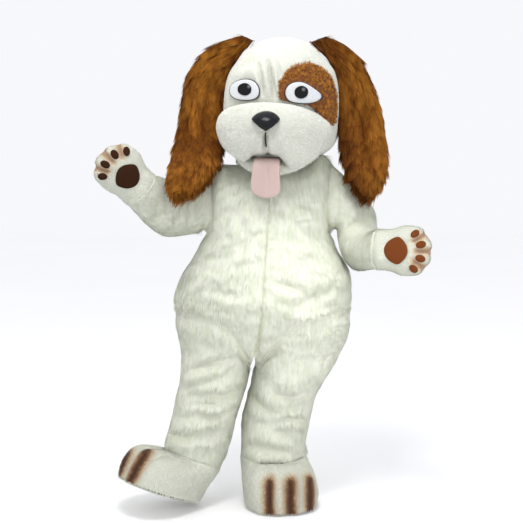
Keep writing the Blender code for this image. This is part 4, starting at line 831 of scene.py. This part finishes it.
pieces = {}
for name, skin in skins.items():
    side = name.rsplit("_", 1)[1]
    if name in MITTS + SHOES:
        kind, stain_and_shade = ("mitt", mitt_stain) if name in MITTS else ("shoe", shoe_stain)
        skin.piece.data.materials.append(plush_cloths[kind])
        stained(skin.piece.data, stain_and_shade(skin.points))
        comb = away_from(ARM_LINES[side][-2]) if name in MITTS else away_from(ANKLES[side], (0, 0, -0.5))
        pieces[name] = fur(
            "pile_" + name, skin, comb, plush_strands[kind], density=80000, length=0.010, width=0.0021,
            lie=0.30, clump=0.25, spread=0.30, ruffle=0.12, seed=11 + len(pieces), stain_and_shade=stain_and_shade,
        )
        continue
    skin.piece.data.materials.append(cream_cloth)
    if name in TORSO:
        comb = down
    elif name in LEGS:
        comb = along(LEG_LINES[side], 0.15)
    else:
        comb = along(ARM_LINES[side], 0.35)
    density, width = (60000, 0.0027) if "back" in name else (104000, 0.0018)
    length, lie = (0.038, 0.075) if name in TORSO else (0.029, 0.09)
    pieces[name] = fur(
        "fur_" + name, skin, comb, cream_strands, density=density, length=length, width=width, lie=lie,
        clump=0.12, clump_size=30, spread=0.05, ruffle=0.04, seed=11 + len(pieces), stain_and_shade=seam_painted_shade,
        fade=ankle_clear if name in LEGS else hem_clear,
    )

# ---------------------------------------- the head

HEAD_MIDDLE, HEAD_WIDER = 0.042, 0.022
HEAD_FRONT = (0.02, -0.30, 0.20)                     # the fur is combed away from it
MUZZLE_FRONT = (0.0, -0.36, 0.17)


def eased(value):
    """From 0 to 1 with soft ends."""
    value = np.clip(value, 0, 1)
    return value * value * (3 - 2 * value)


def wider(points):
    """The foam's sides filled out behind the ears' edges; the plates on them go with them."""
    off, height = points[:, 0] - HEAD_MIDDLE, points[:, 2]
    share = eased((np.abs(off) - 0.11) / 0.09) * eased((height - 0.03) / 0.08) * eased((0.47 - height) / 0.10)
    return np.column_stack([np.sign(off) * HEAD_WIDER * share, np.zeros((len(points), 2))])


head = Surface(HEAD, [outer_faces(name, HEAD) for name in HEAD], 3)
head.move(np.full(len(head.points), -FACE_INSET))
head.shift(wider(head.points))
head.crease([
    (0.0150, 0.0090, [(-0.009, 0.405), (0.003, 0.345), (0.018, 0.270)]),
    (0.0120, 0.0085, [(-0.046, 0.392), (-0.034, 0.340), (-0.030, 0.285)]),
    (0.0060, 0.0070, [(0.028, 0.400), (0.034, 0.370), (0.036, 0.345)]),
    # a bulge over the left eye
    (-0.0080, 0.0200, [(-0.125, 0.352), (-0.080, 0.372), (-0.045, 0.345)]),
], [
    (0.0045, 0.0120, [(-0.100, 0.120), (0.040, 0.105), (0.180, 0.125)]),
])
head_clear = clear_of([f"eye_backing_{side}" for side in SIDES], 0.012)
snout_clear = clear_of(["nose", "philtrum", "tongue"], 0.008)
face_strands = strand_look(
    "short face fur", (0.68, 0.685, 0.615), (0.775, 0.78, 0.71), (0.82, 0.825, 0.76),
    patches=(0.90, 0.92, 0.86), patch_size=0.05, patch_share=0.5, sheen=0.15, dark=0.95,
)
face_cloth = backing_look("face fur cloth", (0.71, 0.715, 0.65), (0.61, 0.615, 0.55), 0.0025)
dress(head, "foam_", face_cloth)
for name in HEAD:
    pieces[name] = fur(
        "fur_" + name, skins[name], away_from(HEAD_FRONT, (0, 0.4, 0)), face_strands,
        density=60000, length=0.009, width=0.0021, lie=0.26, clump=0.2, spread=0.15, ruffle=0.1,
        seed=31 + len(pieces), fade=head_clear,
    )

# the lips hang lower beside the tongue, most on the right
LIP_DROPS = {"left": 0.040, "right": 0.046}
TONGUE_EDGES = {"left": -0.055, "right": 0.025}
LIP_TOP, LIP_SLOPE, LIP_BAND = 0.130, 0.050, 0.080


def shape_lips(form):
    x, z = form.points[:, 0], form.points[:, 2]
    hang = LIP_DROPS["right"] * eased((x - TONGUE_EDGES["right"]) / LIP_SLOPE)
    hang += LIP_DROPS["left"] * eased((TONGUE_EDGES["left"] - x) / LIP_SLOPE)
    shifts = np.zeros_like(form.points)
    shifts[:, 2] = -hang * eased((LIP_TOP - z) / LIP_BAND)
    form.shift(shifts)
    low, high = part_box("philtrum")
    middle = (low[0] + high[0]) / 2
    form.crease([
        # the split under the nose, and the soft folds of the lips
        (0.0120, 0.0110, [(middle, high[2] + 0.004), (middle, (low[2] + high[2]) / 2),
                                 (middle, low[2] - 0.010)]),
        (0.0060, 0.0120, [(-0.175, 0.140), (-0.150, 0.085), (-0.100, 0.058)]),
        (0.0055, 0.0120, [(0.165, 0.190), (0.185, 0.140), (0.170, 0.090)]),
        (0.0040, 0.0100, [(0.080, 0.120), (0.120, 0.085), (0.150, 0.080)]),
    ])


for name, levels in (("muzzle", 2), ("jaw", 1)):
    form = whole(name, levels)
    form.move(np.full(len(form.points), -FACE_INSET))
    form.shift(wider(form.points))
    if name == "muzzle":
        shape_lips(form)
    dress(form, "foam_", face_cloth)
    pieces[name] = fur(
        "fur_" + name, skins[name], away_from(MUZZLE_FRONT, (0, 0.3, -0.1)), face_strands,
        density=65000, length=0.012, width=0.0019, lie=0.36, clump=0.25, spread=0.25, ruffle=0.13,
        seed=41 + len(pieces), fade=snout_clear,
    )

# ---------------------------------------- ears and patch

# painted shade on the ears' fur where it lies beside the head
EAR_PAINTED_SHADE = [(1.0, (0.20, 0.13, 0.09))]
ear_strands = strand_look(
    "long ear fur", (0.080, 0.024, 0.003), (0.235, 0.080, 0.009), (0.51, 0.205, 0.028),
    patches=(0.42, 0.34, 0.26), patch_size=0.045, patch_share=0.85, sheen=0.0, stretch=(1, 1, 0.35),
    stain_and_shade=EAR_PAINTED_SHADE, dark=0.70, specular=0.06,
)
ear_cloth = backing_look("ear cloth", (0.14, 0.05, 0.012), (0.08, 0.026, 0.006), 0.004, sheen=0.05)
# the edges that lie on the head, as (x, z), and the middles that the fur follows
EAR_INNER_EDGES = {
    "left": [(-0.080, 0.441), (-0.128, 0.389), (-0.158, 0.327), (-0.166, 0.227), (-0.180, 0.131),
             (-0.184, 0.049), (-0.228, -0.023), (-0.262, -0.069)],
    "right": [(0.154, 0.435), (0.194, 0.389), (0.213, 0.307), (0.240, 0.207), (0.266, 0.097), (0.288, 0.007),
              (0.324, -0.063), (0.344, -0.095)],
}
EAR_LINES = {
    "left": [(-0.08, 0.0, 0.51), (-0.14, 0.01, 0.47), (-0.204, 0.01, 0.42), (-0.25, 0.016, 0.337),
             (-0.265, 0.018, 0.223), (-0.281, 0.01, 0.122), (-0.29, -0.05, 0.035), (-0.31, -0.127, -0.04),
             (-0.318, -0.16, -0.09)],
    "right": [(0.178, 0.0, 0.506), (0.224, 0.006, 0.464), (0.281, 0.01, 0.408), (0.314, 0.016, 0.317),
              (0.345, 0.018, 0.212), (0.369, 0.004, 0.097), (0.383, -0.04, -0.002), (0.379, -0.088, -0.074),
              (0.37, -0.112, -0.105)],
}
EAR_PAINTED_SHADE_WIDTHS = {"left": 0.040, "right": 0.080}         # width of the painted shade beside the head, wider on the right


def painted_inner_shade(side):
    """Painted shade on the ear's fur, most along its inner edge, which lies in the head's shade."""
    edge = np.array(EAR_INNER_EDGES[side])
    keys = np.linspace(0, len(edge) - 1, 60)
    x, z = (np.interp(keys, range(len(edge)), column) for column in edge.T)
    places = np.column_stack([x, np.zeros(len(keys)), z])
    return lambda roots: 0.9 * np.exp(-((nearest(roots * [1, 0, 1], places)[1] / EAR_PAINTED_SHADE_WIDTHS[side]) ** 2))


for side in SIDES:
    name = f"ear_{side}"
    form = whole(name, 2)
    form.move(np.full(len(form.points), -EAR_INSET))
    dress(form, "cloth_", ear_cloth)
    pieces[name] = fur(
        "fur_" + name, skins[name], along(EAR_LINES[side], fan=0.42), ear_strands,
        density=82000, length=0.066, width=0.0019, lie=0.11, clump=0.35, clump_size=40, spread=0.09,
        curl=0.04, joints=2, ruffle=0.20, seed=51 + len(pieces), stain_and_shade=painted_inner_shade(side),
        fade=short_near(EAR_LINES[side][:1], 0.07, 0.4),
    )

patch_strands = strand_look(
    "curly patch fur", (0.10, 0.028, 0.005), (0.34, 0.125, 0.022), (0.62, 0.280, 0.055),
    patches=(0.6, 0.5, 0.45), patch_size=0.02, patch_share=0.5, sheen=0.0, specular=0.08,
)
patch_cloth = backing_look("patch cloth", (0.24, 0.08, 0.03), (0.14, 0.04, 0.015), 0.003)
PATCH_FRONT = (0.10, -0.25, 0.28)
# its lower outer corner runs down beside the muzzle, on the head
CORNER_X, CORNER_Z, CORNER_BAND = 0.15, 0.30, 0.08
CORNER_SLIDE = Vector((0.004, 0.010, -0.042))


def slide_corner(form):
    share = eased((form.points[:, 0] - CORNER_X) / CORNER_BAND)
    share *= eased((CORNER_Z - form.points[:, 2]) / CORNER_BAND)
    surface, slid = head.tree(), []
    for point, part in zip(form.points, share):
        foot, normal = surface.find_nearest(Vector(point))[:2]
        height = (Vector(point) - foot).dot(normal)
        foot, normal = surface.find_nearest(Vector(point) + CORNER_SLIDE * float(part))[:2]
        slid.append(tuple(foot + normal * height))
    form.shift(np.array(slid) - form.points)


form = whole("eye_patch", 2)
form.shift(wider(form.points))
slide_corner(form)
dress(form, "cloth_", patch_cloth)
pieces["eye_patch"] = fur(
    "fur_eye_patch", skins["eye_patch"], away_from(PATCH_FRONT), patch_strands,
    density=80000, length=0.015, width=0.0020, lie=0.42, clump=0.7, spread=1.0, curl=0.35, joints=2,
    ruffle=0.5, seed=61, fade=clear_of(["eye_backing_right"], 0.016),
)

# ---------------------------------------- nose, eyes, tongue, pads

nose_look = Look("nose vinyl", 0.24, 0.0, 0.14)
nose_look.colour(nose_look.mottled(0.01, (0.006, 0.007, 0.008), (0.014, 0.016, 0.017)))
nose_look.bump(nose_look.noise(0.0016, 2.0), 0.12, 0.0004)
rim_look = Look("black felt", 0.8)
rim_look.colour(rim_look.mottled(0.002, (0.006, 0.006, 0.007), (0.03, 0.03, 0.032)))
white_look = Look("white mesh", 0.55)
white_look.colour(white_look.mottled(0.0012, (0.50, 0.51, 0.53), (0.74, 0.755, 0.77), 1.0, 0.42, 0.55))
# painted shade: the tongue's top is drawn dark where it goes in under the muzzle
tongue_look = backing_look("pink felt", (0.60, 0.455, 0.43), (0.53, 0.39, 0.365), 0.0018, sheen=0.1,
                           shade=(0.036, 0.056, (0.14, 0.05, 0.04)))
# the same brown felt on both mitts, as a shaded copy on the left and a lit copy on the right: the difference
# is painted light and shade
PAD_LOOKS = {
    "left": backing_look("brown pad felt in painted shade", (0.044, 0.014, 0.005), (0.024, 0.008, 0.003), 0.002, 0.0),
    "right": backing_look("brown pad felt", (0.20, 0.053, 0.012), (0.11, 0.030, 0.007), 0.002, 0.0),
}


def pupil_look(side):
    """Black, with a painted highlight: a soft grey spot high on its outer side, where a lamp's reflection
    would be.
    """
    low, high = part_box(f"pupil_{side}")
    gleam = [low[0] + 0.68 * (high[0] - low[0]), low[1], low[2] + 0.72 * (high[2] - low[2])]
    look = Look(f"pupil {side}", 0.45, 0.0, 0.10)
    near = look.distance(gleam, 0.24 * (high[2] - low[2]))
    grain = look.mottled(0.0015, (0.006, 0.006, 0.007), (0.014, 0.014, 0.015))
    look.colour(look.mix(look.ramp(near, (0.2, (1, 1, 1)), (1.0, (0, 0, 0))), grain, (0.30, 0.31, 0.32)))
    return look.material


def shape_nose(form):
    """Wide above and narrow below, with two shallow nostrils."""
    low, high = (np.array(corner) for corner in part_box("nose"))
    middle = (low + high) / 2
    tall = (high - low)[2]
    lower = np.clip((middle[2] + 0.1 * tall - form.points[:, 2]) / tall, 0, 0.6)
    shifts = np.zeros_like(form.points)
    shifts[:, 0] = (middle[0] - form.points[:, 0]) * 1.1 * lower
    form.shift(shifts)
    nostrils = [(middle[0] + turn * 0.022, middle[2] - 0.012) for turn in (-1, 1)]
    dents = [[(x - 0.004, z), (x, z - 0.003), (x + 0.004, z)] for x, z in nostrils]
    form.crease([(0.0045, 0.007, dent) for dent in dents])


STITCH_SWELL = 0.0012        # the line under the nose is drawn this much thicker
TONGUE_FOLD = [(-0.010, 0.040), (-0.010, 0.000), (-0.009, -0.050)]
plain = {"nose": nose_look.material, "philtrum": rim_look.material, "tongue": tongue_look}
for side in SIDES:
    plain |= {
        f"eye_backing_{side}": rim_look.material,
        f"eye_white_{side}": white_look.material,
        f"pupil_{side}": pupil_look(side),
        f"pad_palm_{side}": PAD_LOOKS[side],
        f"sole_{side}": sole_cloth,
    }
    plain |= {f"pad_finger_{number}_{side}": PAD_LOOKS[side] for number in (1, 2, 3, 4)}
for name, look in plain.items():
    fine = name in ("nose", "tongue") or "pad" in name or "pupil" in name
    form = whole(name, 2 if fine else 1)
    if name == "nose":
        shape_nose(form)
    if name.startswith(("eye", "pupil")):
        form.shift(wider(form.points))
    if name == "philtrum":
        form.move(np.full(len(form.points), STITCH_SWELL))
    if name == "tongue":
        form.crease([(0.0030, 0.0045, TONGUE_FOLD)])
    dress(form, "smooth_", look)

# flat sizes of the cuts as width, length and area, and how the cloth is held
CUTS = {
    "suit_front": (0.36, 0.88, 0.265, "hung"),
    "suit_back": (0.36, 0.88, 0.258, "hung"),
    "leg_front": (0.38, 0.90, 0.255, "hung"),
    "leg_back": (0.38, 0.90, 0.258, "hung"),
    "sleeve": (0.56, 0.50, 0.198, "hung"),
    "mitt_palm": (0.25, 0.27, 0.050, "stretched"),
    "mitt_back": (0.27, 0.28, 0.053, "stretched"),
    "shoe": (0.64, 0.46, 0.200, "stretched"),
    "sole": (0.31, 0.36, 0.082, "stretched"),
    "head_front": (0.70, 0.66, 0.330, "stretched"),
    "head_back": (0.70, 0.68, 0.350, "stretched"),
    "eye_patch": (0.20, 0.24, 0.036, "laid"),
}

for name, skin in skins.items():
    strands = [pieces[name]] if name in pieces else []
    for piece in [skin.piece, *strands]:
        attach(piece, "root")
    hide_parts(name)
    kind = name.rsplit("_", 1)[0] if name.endswith(SIDES) else name
    if kind in CUTS:
        width, length, area, held = CUTS[kind]

# ---------------------------------------- stage

FLOOR_SIZE = 12.0            # half its side
FLOOR_GAP = 0.0005           # it lies this much below the soles
floor_look = Look("floor", 0.9)
floor_look.colour(floor_look.mottled(1.5, (0.90, 0.90, 0.91), (0.92, 0.92, 0.93)))
floor_look.shader.inputs["Emission Color"].default_value = (1, 1, 1, 1)
floor_look.shader.inputs["Emission Strength"].default_value = 0.07
floor_mesh = bpy.data.meshes.new("floor")
corners = [(x * FLOOR_SIZE, y * FLOOR_SIZE, 0) for x, y in ((-1, -1), (1, -1), (1, 1), (-1, 1))]
floor_mesh.from_pydata(corners, [], [(0, 1, 2, 3)])
floor_mesh.materials.append(floor_look.material)
floor = linked("floor", floor_mesh)
floor.location.z = CAD_BOX[0][2] - FLOOR_GAP

CAMERA_PLACE = (-0.034, -4.4, 0.147)
CAMERA_DOWN = 6.75           # degrees below level
LENS, SENSOR = 76.06, 36     # millimetres
eye = bpy.data.cameras.new("camera")
eye.lens = LENS
eye.sensor_width = SENSOR
camera = bpy.data.objects.new("camera", eye)
camera.location = CAMERA_PLACE
camera.rotation_euler = (math.radians(90 - CAMERA_DOWN), 0, 0)
bpy.context.scene.collection.objects.link(camera)
bpy.context.scene.camera = camera

sky = bpy.data.worlds.new("studio")
sky.use_nodes = True
sky.node_tree.nodes["Background"].inputs["Color"].default_value = (0.935, 0.94, 0.965, 1)
sky.node_tree.nodes["Background"].inputs["Strength"].default_value = 1.0
bpy.context.scene.world = sky
bpy.context.scene.view_settings.view_transform = "Standard"


def lamp(name, place, aim, size, power, spread=180):
    """A square lamp aimed at a place; its beam's spread is in degrees."""
    light = bpy.data.lights.new(name, "AREA")
    light.spread = math.radians(spread)
    light.size = size
    light.energy = power
    holder = bpy.data.objects.new(name, light)
    holder.location = place
    holder.rotation_euler = (Vector(aim) - Vector(place)).to_track_quat("-Z", "Y").to_euler()
    bpy.context.scene.collection.objects.link(holder)


lamp("key", (-0.35, -1.55, 2.85), (0, 0, 0.15), 1.1, 68)
lamp("fill", (2.6, -3.0, 1.2), (0, 0, -0.3), 3.0, 6)
lamp("front", (0.95, -2.1, 0.35), (0.06, 0, -0.60), 0.5, 0.9, 30)
